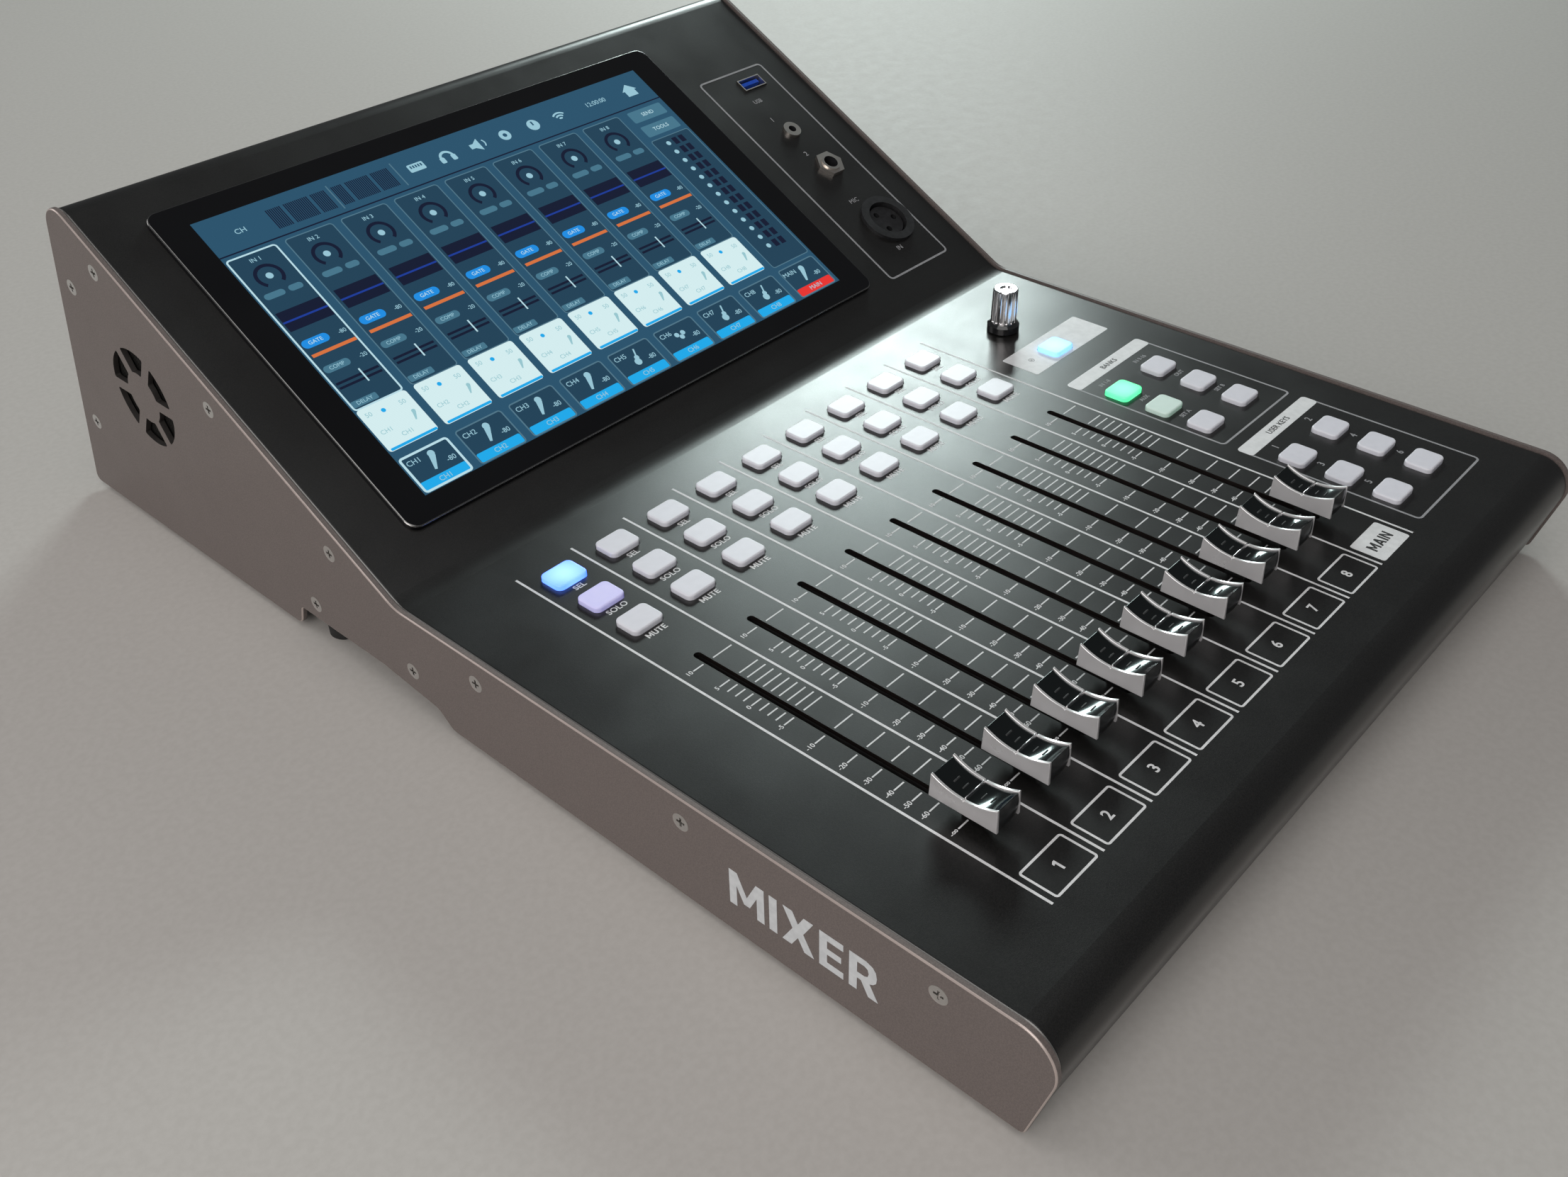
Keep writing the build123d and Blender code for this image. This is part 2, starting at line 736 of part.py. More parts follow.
with BuildPart() as jack_socket:
    with BuildSketch():
        RegularPolygon(jack_nut_radius, 6)
    extrude(amount=jack_nut_height)
    with BuildSketch(Plane.XY.offset(jack_top)):
        Circle(jack_radius)
    extrude(amount=-jack_neck)
    with BuildSketch(Plane.XY.offset(-sheet - body_gap)):
        Rectangle(*jack_body)
    extrude(amount=-jack_body_depth)
    with BuildSketch(Plane.XY.offset(jack_top)):
        Circle(jack_bore)
    extrude(amount=-jack_bore_depth, mode=Mode.SUBTRACT)

mini_jack_rim = 1.2
mini_jack_top = 1.4
mini_jack_depth = 16.0
mini_jack_bore = 1.8
port_well_depth = 12.0

with BuildPart() as mini_jack_socket:
    with BuildSketch():
        Circle(mini_jack_radius + mini_jack_rim)
    extrude(amount=mini_jack_top)
    with BuildSketch(Plane.XY.offset(mini_jack_top)):
        Circle(mini_jack_radius)
    extrude(amount=-mini_jack_depth)
    with BuildSketch(Plane.XY.offset(mini_jack_top)):
        Circle(mini_jack_bore)
    extrude(amount=-port_well_depth, mode=Mode.SUBTRACT)

usb_proud = 0.4
usb_gap = 0.3
usb_wall = 0.5
usb_depth = 16.0
tongue_size = (11.0, 1.9)
tongue_offset = 1.0
tongue_tip = 1.0            # the tongue stops this far below the slope

with BuildPart() as usb_socket:
    with BuildSketch(Plane.XY.offset(usb_proud)):
        Rectangle(usb_size[0] - 2 * usb_gap, usb_size[1] - 2 * usb_gap)
    extrude(amount=-usb_depth)
    with BuildSketch(Plane.XY.offset(usb_proud)):
        Rectangle(usb_size[0] - 2 * usb_gap - 2 * usb_wall, usb_size[1] - 2 * usb_gap - 2 * usb_wall)
    extrude(amount=-port_well_depth, mode=Mode.SUBTRACT)
    with BuildSketch(Plane.XY.offset(usb_proud - port_well_depth)):
        with Locations((0, tongue_offset)):
            Rectangle(*tongue_size)
    extrude(amount=port_well_depth - usb_proud - tongue_tip)

port_proud = 0.6
port_depth = 18.0
port_wall = 1.5

with BuildPart() as panel_sockets:
    for plane, spots, socket in (
        (rear_plane, input_spots, input_socket),
        (rear_plane, output_spots, output_socket),
        (rear_plane, line_spots, jack_socket),
        (slope_plane, [talkback_spot], talkback_socket),
        (slope_plane, [jack_spot], jack_socket),
        (slope_plane, [mini_jack_spot], mini_jack_socket),
        (slope_plane, [usb_spot], usb_socket),
    ):
        with place_on(plane, spots):
            add(socket.part)
    for spot, size in rear_ports:
        with BuildSketch(rear_plane.offset(port_proud)):
            with Locations(spot):
                Rectangle(*size)
        extrude(amount=-port_depth)
        with BuildSketch(rear_plane.offset(port_proud)):
            with Locations(spot):
                Rectangle(size[0] - 2 * port_wall, size[1] - 2 * port_wall)
        extrude(amount=-port_well_depth, mode=Mode.SUBTRACT)
save(panel_sockets, "panel_sockets")
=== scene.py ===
import math

import bmesh
import bpy
from mathutils import Matrix, Vector


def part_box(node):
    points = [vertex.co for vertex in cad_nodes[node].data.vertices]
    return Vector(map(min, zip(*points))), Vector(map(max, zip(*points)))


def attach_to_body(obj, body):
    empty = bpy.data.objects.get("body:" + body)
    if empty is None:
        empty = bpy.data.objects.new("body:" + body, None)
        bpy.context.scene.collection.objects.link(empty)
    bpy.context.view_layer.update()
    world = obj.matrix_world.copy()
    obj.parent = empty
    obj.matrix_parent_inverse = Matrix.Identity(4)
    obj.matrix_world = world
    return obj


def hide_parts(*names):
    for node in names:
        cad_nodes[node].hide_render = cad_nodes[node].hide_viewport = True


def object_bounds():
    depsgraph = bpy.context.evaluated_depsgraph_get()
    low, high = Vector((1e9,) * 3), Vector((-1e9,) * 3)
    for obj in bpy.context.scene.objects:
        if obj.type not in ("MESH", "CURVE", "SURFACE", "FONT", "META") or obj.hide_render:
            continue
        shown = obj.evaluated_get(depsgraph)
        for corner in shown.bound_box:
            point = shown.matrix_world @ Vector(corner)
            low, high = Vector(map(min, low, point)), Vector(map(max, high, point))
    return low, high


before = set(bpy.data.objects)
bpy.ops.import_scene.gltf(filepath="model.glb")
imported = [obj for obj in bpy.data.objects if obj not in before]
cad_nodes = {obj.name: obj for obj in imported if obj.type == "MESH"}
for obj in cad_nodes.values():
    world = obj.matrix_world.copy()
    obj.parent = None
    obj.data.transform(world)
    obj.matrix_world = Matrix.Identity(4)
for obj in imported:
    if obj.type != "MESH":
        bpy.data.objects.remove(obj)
cad_low, cad_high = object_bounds()

# The looks of a compact mixing console: materials on the CAD nodes, detailed fader caps, the print on
# the panels, the lit display, the vent meshes and the studio. Lengths are millimetres; MM makes metres.
MM = 0.001
BODY = "console"

# ---------------------------------------------------------------- places taken from the frame


def middle(node):
    """Centre of a CAD node's box at rest, in millimetres."""
    low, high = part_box(node)
    return (low + high) / (2 * MM)


STRIPS = [str(number) for number in range(1, 9)] + ["main"]
KEY_PROUD = 1.8
CAP_RIM = 12.8
DECK_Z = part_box("sel_key_1")[1].z / MM - KEY_PROUD
STRIP_X = [middle(f"fader_{name}").x for name in STRIPS]
PITCH = STRIP_X[1] - STRIP_X[0]
FADER_Y = middle("fader_1").y
TRAVEL = 100.0
BEND_Y = 20.8
TILT = math.radians(28.0)
GLASS_THICKNESS = 2.0
PRINT_THICKNESS = 0.05
KEY_REACH = 8.5
HALF_WIDTH = cad_high.x / MM

# ---------------------------------------------------------------- materials


def new_material(name):
    material = bpy.data.materials.new(name)
    material.use_nodes = True
    nodes = material.node_tree.nodes
    return material, nodes, material.node_tree.links, nodes["Principled BSDF"]


def add_grain(nodes, links, shader, scale, strength, distance, stretch=None):
    """Fine bump from noise in object space, drawn out by stretch; returns the coordinates node."""
    coords = nodes.new("ShaderNodeTexCoord")
    noise = nodes.new("ShaderNodeTexNoise")
    noise.inputs["Scale"].default_value = scale
    noise.inputs["Detail"].default_value = 2.0
    bump = nodes.new("ShaderNodeBump")
    bump.inputs["Strength"].default_value = strength
    bump.inputs["Distance"].default_value = distance
    if stretch:
        mapping = nodes.new("ShaderNodeMapping")
        mapping.inputs["Scale"].default_value = stretch
        links.new(coords.outputs["Object"], mapping.inputs["Vector"])
        links.new(mapping.outputs["Vector"], noise.inputs["Vector"])
    else:
        links.new(coords.outputs["Object"], noise.inputs["Vector"])
    links.new(noise.outputs["Fac"], bump.inputs["Height"])
    links.new(bump.outputs["Normal"], shader.inputs["Normal"])
    return coords


def vary(nodes, links, coords, target, low, high, scale, detail=3.0):
    """Drives one input between two values or colours by a slow noise."""
    noise = nodes.new("ShaderNodeTexNoise")
    noise.inputs["Scale"].default_value = scale
    noise.inputs["Detail"].default_value = detail
    links.new(coords.outputs["Object"], noise.inputs["Vector"])
    if isinstance(low, tuple):
        ramp = nodes.new("ShaderNodeValToRGB")
        ramp.color_ramp.elements[0].position = 0.35
        ramp.color_ramp.elements[1].position = 0.65
        ramp.color_ramp.elements[0].color = (*low, 1)
        ramp.color_ramp.elements[1].color = (*high, 1)
        links.new(noise.outputs["Fac"], ramp.inputs["Fac"])
        links.new(ramp.outputs["Color"], target)
    else:
        spread = nodes.new("ShaderNodeMapRange")
        spread.inputs["From Min"].default_value = 0.3
        spread.inputs["From Max"].default_value = 0.7
        spread.inputs["To Min"].default_value = low
        spread.inputs["To Max"].default_value = high
        links.new(noise.outputs["Fac"], spread.inputs["Value"])
        links.new(spread.outputs["Result"], target)


def powder_coat(name, dark, light, rough, bump=0.22, grain=4200.0):
    """Fine textured powder coat: grain bump, speckle of tone and an uneven sheen."""
    material, nodes, links, shader = new_material(name)
    coords = add_grain(nodes, links, shader, grain, bump, 0.0001)
    vary(nodes, links, coords, shader.inputs["Base Color"], dark, light, grain * 0.6, 1.0)
    vary(nodes, links, coords, shader.inputs["Roughness"], rough - 0.03, rough + 0.03, 35.0)
    shader.inputs["Specular IOR Level"].default_value = 0.7
    return material


def metal(name, colour, rough, bump=0.1, grain=1500.0, stretch=None, share=1.0):
    """Bright or dark metal; share below one lets the body colour through, as on plated plastic."""
    material, nodes, links, shader = new_material(name)
    coords = add_grain(nodes, links, shader, grain, bump, 0.00002, stretch)
    shader.inputs["Metallic"].default_value = share
    tint = tuple(min(1.0, channel * 1.06) for channel in colour)
    vary(nodes, links, coords, shader.inputs["Base Color"], colour, tint, 60.0)
    vary(nodes, links, coords, shader.inputs["Roughness"], rough, rough + 0.05, 90.0)
    return material


def plastic(name, dark, light, rough, bump=0.15, grain=1800.0, coat=0.0):
    """Moulded plastic or printed ink, with a clear coat where it is glossy."""
    material, nodes, links, shader = new_material(name)
    coords = add_grain(nodes, links, shader, grain, bump, 0.00004)
    vary(nodes, links, coords, shader.inputs["Base Color"], dark, light, 400.0)
    vary(nodes, links, coords, shader.inputs["Roughness"], rough, rough + 0.06, 120.0)
    shader.inputs["Coat Weight"].default_value = coat
    shader.inputs["Coat Roughness"].default_value = 0.08
    return material


def lit_key(name, body, glow=None, strength=0.0, centre=None):
    """Frosted translucent key; a lit one glows, palest in its middle and deepest at its rim."""
    material, nodes, links, shader = new_material(name)
    coords = add_grain(nodes, links, shader, 2200.0, 0.08, 0.00004)
    edge = tuple(channel * 0.97 for channel in body)
    vary(nodes, links, coords, shader.inputs["Base Color"], edge, body, 300.0)
    shader.inputs["Roughness"].default_value = 0.36
    shader.inputs["Subsurface Weight"].default_value = 0.3
    shader.inputs["Subsurface Radius"].default_value = (1.0, 1.0, 1.0)
    shader.inputs["Subsurface Scale"].default_value = 0.002
    if glow:
        offset = nodes.new("ShaderNodeVectorMath")
        offset.operation = "SUBTRACT"
        offset.inputs[1].default_value = [channel * MM for channel in centre]
        length = nodes.new("ShaderNodeVectorMath")
        length.operation = "LENGTH"
        spread = nodes.new("ShaderNodeMapRange")
        spread.inputs["From Max"].default_value = KEY_REACH * MM
        ramp = nodes.new("ShaderNodeValToRGB")
        pale, deep = glow
        ramp.color_ramp.elements[0].position = 0.2
        ramp.color_ramp.elements[0].color = (*pale, 1)
        ramp.color_ramp.elements[1].color = (*deep, 1)
        links.new(coords.outputs["Object"], offset.inputs[0])
        links.new(offset.outputs["Vector"], length.inputs[0])
        links.new(length.outputs["Value"], spread.inputs["Value"])
        links.new(spread.outputs["Result"], ramp.inputs["Fac"])
        links.new(ramp.outputs["Color"], shader.inputs["Emission Color"])
        shader.inputs["Emission Strength"].default_value = strength
    return material


def screen_ink(name, colour, strength=1.0):
    """A lit patch of the display, seen through the glossy cover glass, with a faint pixel grid."""
    material, nodes, links, shader = new_material(name)
    coords = nodes.new("ShaderNodeTexCoord")
    dots = nodes.new("ShaderNodeTexVoronoi")
    dots.inputs["Scale"].default_value = 3500.0
    dots.inputs["Randomness"].default_value = 0.0
    spread = nodes.new("ShaderNodeMapRange")
    spread.inputs["From Max"].default_value = 0.7
    spread.inputs["To Min"].default_value = strength
    spread.inputs["To Max"].default_value = strength * 0.9
    links.new(coords.outputs["Object"], dots.inputs["Vector"])
    links.new(dots.outputs["Distance"], spread.inputs["Value"])
    links.new(spread.outputs["Result"], shader.inputs["Emission Strength"])
    shader.inputs["Base Color"].default_value = (0.004, 0.004, 0.005, 1)
    shader.inputs["Emission Color"].default_value = (*colour, 1)
    shader.inputs["Roughness"].default_value = 0.07
    return material


def glass_black():
    """Black cover glass with a very slight wave and faint smears."""
    material, nodes, links, shader = new_material("cover_glass_black")
    coords = add_grain(nodes, links, shader, 25.0, 0.02, 0.0001)
    dark, light = (0.003, 0.003, 0.004), (0.005, 0.005, 0.006)
    vary(nodes, links, coords, shader.inputs["Base Color"], dark, light, 15.0)
    vary(nodes, links, coords, shader.inputs["Roughness"], 0.04, 0.09, 20.0)
    return material


BLACK_COAT = powder_coat("black_powder_coat", (0.006, 0.0057, 0.0054), (0.013, 0.0123, 0.0117), 0.31)
TAUPE_COAT = powder_coat(
    "taupe_powder_coat", (0.125, 0.101, 0.094), (0.165, 0.135, 0.126), 0.48, bump=0.2, grain=3600.0)
WHITE_INK = plastic("white_silkscreen", (0.72, 0.72, 0.73), (0.82, 0.82, 0.83), 0.5)
GREY_INK = plastic("grey_silkscreen", (0.30, 0.30, 0.315), (0.36, 0.36, 0.375), 0.5)
PLATE_INK = plastic("pale_silkscreen_field", (0.78, 0.79, 0.80), (0.86, 0.87, 0.88), 0.42)
DARK_INK = plastic("dark_print", (0.02, 0.02, 0.02), (0.03, 0.03, 0.03), 0.5)
SIDE_INK = plastic("side_white_print", (0.6, 0.62, 0.64), (0.68, 0.7, 0.72), 0.45)
SILVER = metal("satin_silver_cap", (0.80, 0.78, 0.79), 0.27, 0.1, 1500.0, (1.0, 0.15, 1.0), share=0.5)
MIRROR_BLACK = metal("dark_mirror_inlay", (0.075, 0.085, 0.085), 0.09, 0.02)
END_BLACK = plastic(
    "gloss_black_end", (0.012, 0.013, 0.014), (0.02, 0.021, 0.022), 0.28,
    bump=0.05, grain=900.0, coat=0.25)
DASH_DARK = plastic("dark_grip_dash", (0.03, 0.031, 0.032), (0.04, 0.041, 0.042), 0.5)
CHROME = metal("polished_chrome", (0.80, 0.79, 0.80), 0.08, 0.03)
STAINLESS = metal("stainless_screw", (0.60, 0.585, 0.57), 0.28, 0.2, 1200.0)
STEM_DARK = metal("dark_stem", (0.12, 0.12, 0.12), 0.4, 0.1)
SKIRT_BLACK = plastic(
    "gloss_black_skirt", (0.01, 0.01, 0.011), (0.016, 0.016, 0.017), 0.12,
    bump=0.04, grain=700.0, coat=0.8)
TRACK = plastic("track_black", (0.012, 0.011, 0.011), (0.02, 0.018, 0.018), 0.55, 0.3)
RUBBER = plastic("foot_rubber", (0.012, 0.012, 0.012), (0.02, 0.02, 0.02), 0.75, 0.5)
BOARD = plastic("board_green", (0.01, 0.06, 0.03), (0.015, 0.085, 0.045), 0.4, 0.2)
SOCKET = plastic("socket_black", (0.015, 0.015, 0.016), (0.024, 0.024, 0.026), 0.35, 0.2)
USB_BLUE = plastic("usb_blue", (0.015, 0.09, 0.60), (0.02, 0.11, 0.70), 0.35)
NICKEL = metal("nickel_nut", (0.72, 0.67, 0.62), 0.3, 0.1, 900.0)
CONTACT_GOLD = metal("contact_gold", (0.85, 0.62, 0.28), 0.25)
GLASS = glass_black()
# Painted highlight: the cover glass rim gets this paler grey to stand in for the light along its edge.
PAINTED_GLASS_HIGHLIGHT = metal("cover_glass_painted_highlight", (0.30, 0.295, 0.29), 0.22, 0.05)
# Painted highlight: the fader slots' cut walls get this paler brownish colour to stand in for the light
# they catch.
PAINTED_SLOT_HIGHLIGHT = metal("slot_wall_painted_highlight", (0.17, 0.135, 0.125), 0.35, 0.1)
# Painted highlight: the rounded folds along the top panel's sides get this lighter grey to stand in for
# the light they catch.
PAINTED_FOLD_HIGHLIGHT = metal("folded_edge_painted_highlight", (0.30, 0.29, 0.28), 0.3, 0.1, share=0.6)
# Painted highlight: the rounded outer edges of the side panels get this lighter taupe to stand in for
# the light they catch.
PAINTED_TAUPE_HIGHLIGHT = metal("taupe_edge_painted_highlight", (0.52, 0.44, 0.41), 0.3, 0.1, share=0.4)
# The cap rims are polished, and their colour is also painted lighter than the plates as a painted
# highlight.
RIM_SILVER_HIGHLIGHT = metal("polished_cap_rim_painted_highlight", (0.93, 0.92, 0.92), 0.2, 0.03, share=0.6)
VENT_DARK = metal("vent_wire_dark", (0.11, 0.107, 0.102), 0.5, 0.2)
VENT_WALL = plastic("vent_wall_dark", (0.022, 0.019, 0.018), (0.032, 0.028, 0.026), 0.5)

# ---------------------------------------------------------------- flat print: thin closed slabs


# Heavy capitals, one unit high: the width of each letter, then its flat outlines.
HEAVY_CAPITALS = {
    "A": (0.86, [
        [(0, 0), (0.22, 0), (0.43, 0.66), (0.64, 0), (0.86, 0), (0.54, 1), (0.32, 1)],
        [(0.284, 0.2), (0.576, 0.2), (0.522, 0.37), (0.338, 0.37)],
    ]),
    "E": (0.62, [
        [(0, 0), (0.62, 0), (0.62, 0.18), (0.2, 0.18), (0.2, 0.42), (0.56, 0.42), (0.56, 0.59),
         (0.2, 0.59), (0.2, 0.82), (0.61, 0.82), (0.61, 1), (0, 1)],
    ]),
    "I": (0.21, [
        [(0, 0), (0.21, 0), (0.21, 1), (0, 1)],
    ]),
    "M": (0.96, [
        [(0, 0), (0.2, 0), (0.2, 0.62), (0.4, 0.2), (0.56, 0.2), (0.76, 0.62), (0.76, 0), (0.96, 0),
         (0.96, 1), (0.74, 1), (0.48, 0.44), (0.22, 1), (0, 1)],
    ]),
    "N": (0.78, [
        [(0, 0), (0.2, 0), (0.2, 0.66), (0.58, 0), (0.78, 0), (0.78, 1), (0.58, 1), (0.58, 0.34),
         (0.2, 1), (0, 1)],
    ]),
    "R": (0.73, [
        [(0, 0), (0.2, 0), (0.2, 1), (0, 1)],
        [(0.2, 0.36), (0.3, 0.36), (0.49, 0), (0.73, 0), (0.51, 0.4), (0.6, 0.45), (0.67, 0.54),
         (0.69, 0.68), (0.66, 0.84), (0.58, 0.94), (0.42, 1), (0.2, 1), (0.2, 0.83), (0.38, 0.83),
         (0.46, 0.79), (0.49, 0.68), (0.46, 0.57), (0.38, 0.53), (0.2, 0.53)],
    ]),
    "T": (0.66, [
        [(0.23, 0), (0.43, 0), (0.43, 0.82), (0.66, 0.82), (0.66, 1), (0, 1), (0, 0.82), (0.23, 0.82)],
    ]),
    "U": (0.76, [
        [(0, 0.3), (0.03, 0.15), (0.12, 0.04), (0.26, -0.01), (0.5, -0.01), (0.64, 0.04), (0.73, 0.15),
         (0.76, 0.3), (0.76, 1), (0.56, 1), (0.56, 0.32), (0.53, 0.22), (0.44, 0.17), (0.32, 0.17),
         (0.23, 0.22), (0.2, 0.32), (0.2, 1), (0, 1)],
    ]),
    "X": (0.84, [
        [(0, 0), (0.25, 0), (0.42, 0.31), (0.59, 0), (0.84, 0), (0.56, 0.51), (0.82, 1), (0.57, 1),
         (0.42, 0.71), (0.27, 1), (0.02, 1), (0.28, 0.51)],
    ]),
}
LETTER_GAP = 0.14
FONT_CAPITAL = 0.73


class Sheet:
    """Collects thin closed slabs on a plane. Points are (x, y) in millimetres along the plane's axes."""

    letters = {}

    def __init__(self, origin, right, up):
        self.origin = Vector(origin)
        self.right = Vector(right).normalized()
        self.up = Vector(up).normalized()
        self.normal = self.right.cross(self.up)
        self.mesh = bmesh.new()

    def place(self, x, y, h):
        return (self.origin + self.right * x + self.up * y + self.normal * h) * MM

    def slab(self, points, height=PRINT_THICKNESS):
        low = [self.mesh.verts.new(self.place(x, y, 0)) for x, y in points]
        high = [self.mesh.verts.new(self.place(x, y, height)) for x, y in points]
        self.mesh.faces.new(high)
        self.mesh.faces.new(low[::-1])
        for i in range(len(points)):
            j = (i + 1) % len(points)
            self.mesh.faces.new((low[i], low[j], high[j], high[i]))

    def bar(self, x0, y0, x1, y1, height=PRINT_THICKNESS):
        self.slab([(x0, y0), (x1, y0), (x1, y1), (x0, y1)], height)

    def rounded(self, x0, y0, x1, y1, radius, height=PRINT_THICKNESS):
        self.slab(rounded_outline(x0, y0, x1, y1, radius), height)

    def ring(self, outer, inner, height=PRINT_THICKNESS):
        """A closed band between two outlines with the same number of points."""
        count = len(outer)
        loops = []
        for h in (0, height):
            loops.append([self.mesh.verts.new(self.place(x, y, h)) for x, y in outer])
            loops.append([self.mesh.verts.new(self.place(x, y, h)) for x, y in inner])
        out_low, in_low, out_high, in_high = loops
        for i in range(count):
            j = (i + 1) % count
            self.mesh.faces.new((out_low[i], out_low[j], out_high[j], out_high[i]))
            self.mesh.faces.new((in_low[j], in_low[i], in_high[i], in_high[j]))
            self.mesh.faces.new((out_high[i], out_high[j], in_high[j], in_high[i]))
            self.mesh.faces.new((out_low[j], out_low[i], in_low[i], in_low[j]))

    def frame(self, x0, y0, x1, y1, radius, line, height=PRINT_THICKNESS):
        outer = rounded_outline(x0, y0, x1, y1, radius)
        inner = rounded_outline(x0 + line, y0 + line, x1 - line, y1 - line, max(0.05, radius - line))
        self.ring(outer, inner, height)

    def disc(self, x, y, radius, height=PRINT_THICKNESS, sides=20):
        self.slab(arc_points(x, y, radius, 0, 360, sides)[:-1], height)

    def arc(self, x, y, radius, line, start, end, height=PRINT_THICKNESS, sides=24):
        outer = arc_points(x, y, radius, start, end, sides)
        inner = arc_points(x, y, radius - line, start, end, sides)
        self.slab(outer + inner[::-1], height)

    def text(self, words, x, y, size, height=PRINT_THICKNESS, align="CENTER", bold=0.0):
        """Lettering with its middle (or its left edge) at x, y; size is the capital height."""
        key = (words, align, bold)
        if key not in Sheet.letters:
            curve = bpy.data.curves.new("lettering", "FONT")
            curve.body = words
            curve.align_x = align
            curve.align_y = "CENTER"
            curve.resolution_u = 3
            curve.extrude = 0.5
            curve.offset = bold
            holder = bpy.data.objects.new("lettering", curve)
            bpy.context.scene.collection.objects.link(holder)
            bpy.context.view_layer.update()
            graph = bpy.context.evaluated_depsgraph_get()
            Sheet.letters[key] = bpy.data.meshes.new_from_object(holder.evaluated_get(graph))
            bpy.data.objects.remove(holder)
        scale = size / FONT_CAPITAL
        spin = Matrix((
            (self.right.x, self.up.x, self.normal.x, 0),
            (self.right.y, self.up.y, self.normal.y, 0),
            (self.right.z, self.up.z, self.normal.z, 0),
            (0, 0, 0, 1),
        ))
        move = Matrix.Translation(self.place(x, y, height / 2))
        shape = Matrix.Diagonal((scale * MM, scale * MM, height * MM, 1))
        before = len(self.mesh.verts)
        self.mesh.from_mesh(Sheet.letters[key])
        self.mesh.verts.ensure_lookup_table()
        transform = move @ spin @ shape
        for index in range(before, len(self.mesh.verts)):
            vertex = self.mesh.verts[index]
            vertex.co = transform @ vertex.co

    def heavy(self, word, x, y, size, height=PRINT_THICKNESS):
        """A word in heavy capitals with its middle at x, y."""
        length = sum(HEAVY_CAPITALS[letter][0] + LETTER_GAP for letter in word) - LETTER_GAP
        left = x - size * length / 2
        for letter in word:
            width, outlines = HEAVY_CAPITALS[letter]
            for outline in outlines:
                self.slab([(left + size * u, y + size * (v - 0.5)) for u, v in outline], height)
            left += size * (width + LETTER_GAP)

    def numeral(self, digit, x, y, size, bold):
        """A digit; the one is drawn here with its flag."""
        if digit != "1":
            self.text(digit, x, y, size, bold=bold)
            return
        outline = [(0.06, -0.5), (0.27, -0.5), (0.27, 0.5), (0.1, 0.5), (-0.14, 0.36), (-0.14, 0.16),
                   (0.06, 0.24)]
        self.slab([(x + size * (u - 0.06), y + size * v) for u, v in outline])

    def finish(self, name, material, slot_name, body=BODY):
        return piece(name, self.mesh, [material], body, smooth=None)


def arc_points(x, y, radius, start, end, count):
    step = math.radians(end - start) / count
    first = math.radians(start)
    return [
        (x + radius * math.cos(first + step * i), y + radius * math.sin(first + step * i))
        for i in range(count + 1)
    ]


def rounded_outline(x0, y0, x1, y1, radius, corner_steps=5):
    points = []
    corners = ((x1 - radius, y1 - radius, 0), (x0 + radius, y1 - radius, 90))
    corners += ((x0 + radius, y0 + radius, 180), (x1 - radius, y0 + radius, 270))
    for x, y, start in corners:
        points += arc_points(x, y, radius, start, start + 90, corner_steps)
    return points


def piece(name, mesh_data, materials, body=BODY, smooth=40.0, bevel=0.0):
    """Turns a bmesh into an object that rides on a body."""
    mesh = bpy.data.meshes.new(name)
    bmesh.ops.recalc_face_normals(mesh_data, faces=mesh_data.faces)
    mesh_data.to_mesh(mesh)
    mesh_data.free()
    for material in materials:
        mesh.materials.append(material)
    if smooth:
        mesh.shade_smooth()
        mesh.set_sharp_from_angle(angle=math.radians(smooth))
    return attach(name, mesh, body, bevel)


def attach(name, mesh, body, bevel=0.0):
    thing = bpy.data.objects.new(name, mesh)
    bpy.context.scene.collection.objects.link(thing)
    if bevel:
        rounding = thing.modifiers.new("edges", "BEVEL")
        rounding.width = bevel * MM
        rounding.segments = 2
        rounding.limit_method = "ANGLE"
        rounding.angle_limit = math.radians(35)
    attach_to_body(thing, body)
    return thing


def deck_sheet():
    return Sheet((0, 0, DECK_Z), (1, 0, 0), (0, 1, 0))


def slope_sheet(height=0.0):
    lift = Vector((0, -math.sin(TILT), math.cos(TILT))) * height
    origin = Vector((0, BEND_Y, DECK_Z)) + lift
    return Sheet(origin, (1, 0, 0), (0, math.cos(TILT), math.sin(TILT)))


def paint(node, materials, choose=None):
    """Gives a CAD node its materials; choose(centre, normal) picks one per face by number."""
    mesh = cad_nodes[node].data
    mesh.materials.clear()
    for material in materials:
        mesh.materials.append(material)
    if choose:
        for face in mesh.polygons:
            face.material_index = choose(face.center / MM, face.normal)


SHEET = 1.6
VENT_Y, VENT_Z, VENT_REACH = 163.2, 67.1, 22.0
SLOPE_UP = Vector((0, math.cos(TILT), math.sin(TILT)))
SLOPE_OUT = Vector((0, -math.sin(TILT), math.cos(TILT)))


FOLD_REACH = 5.0
SLOTS_HALF_X, SLOTS_FRONT, SLOTS_REAR = 140.0, -190.0, -60.0
EDGE_REACH = 0.8
COATED, SLOT_WALL_HIGHLIGHT, FOLD_HIGHLIGHT = range(3)
SIDE_FACE, SIDE_EDGE_HIGHLIGHT, VENT_CUT = range(3)
GLASS_FACE, GLASS_HIGHLIGHT_BAND = range(2)


def panel_part(centre, normal):
    """The cut walls of the fader slots are painted paler and the folded edges lighter, both as painted
    highlights.
    """
    if abs(centre.x) > HALF_WIDTH - FOLD_REACH and 0.3 < abs(normal.x) < 0.8 and normal.z > 0:
        return FOLD_HIGHLIGHT
    over_slots = abs(centre.x) < SLOTS_HALF_X and SLOTS_FRONT < centre.y < SLOTS_REAR
    in_sheet = DECK_Z - SHEET < centre.z < DECK_Z
    return SLOT_WALL_HIGHLIGHT if over_slots and in_sheet and abs(normal.x) > 0.9 else COATED


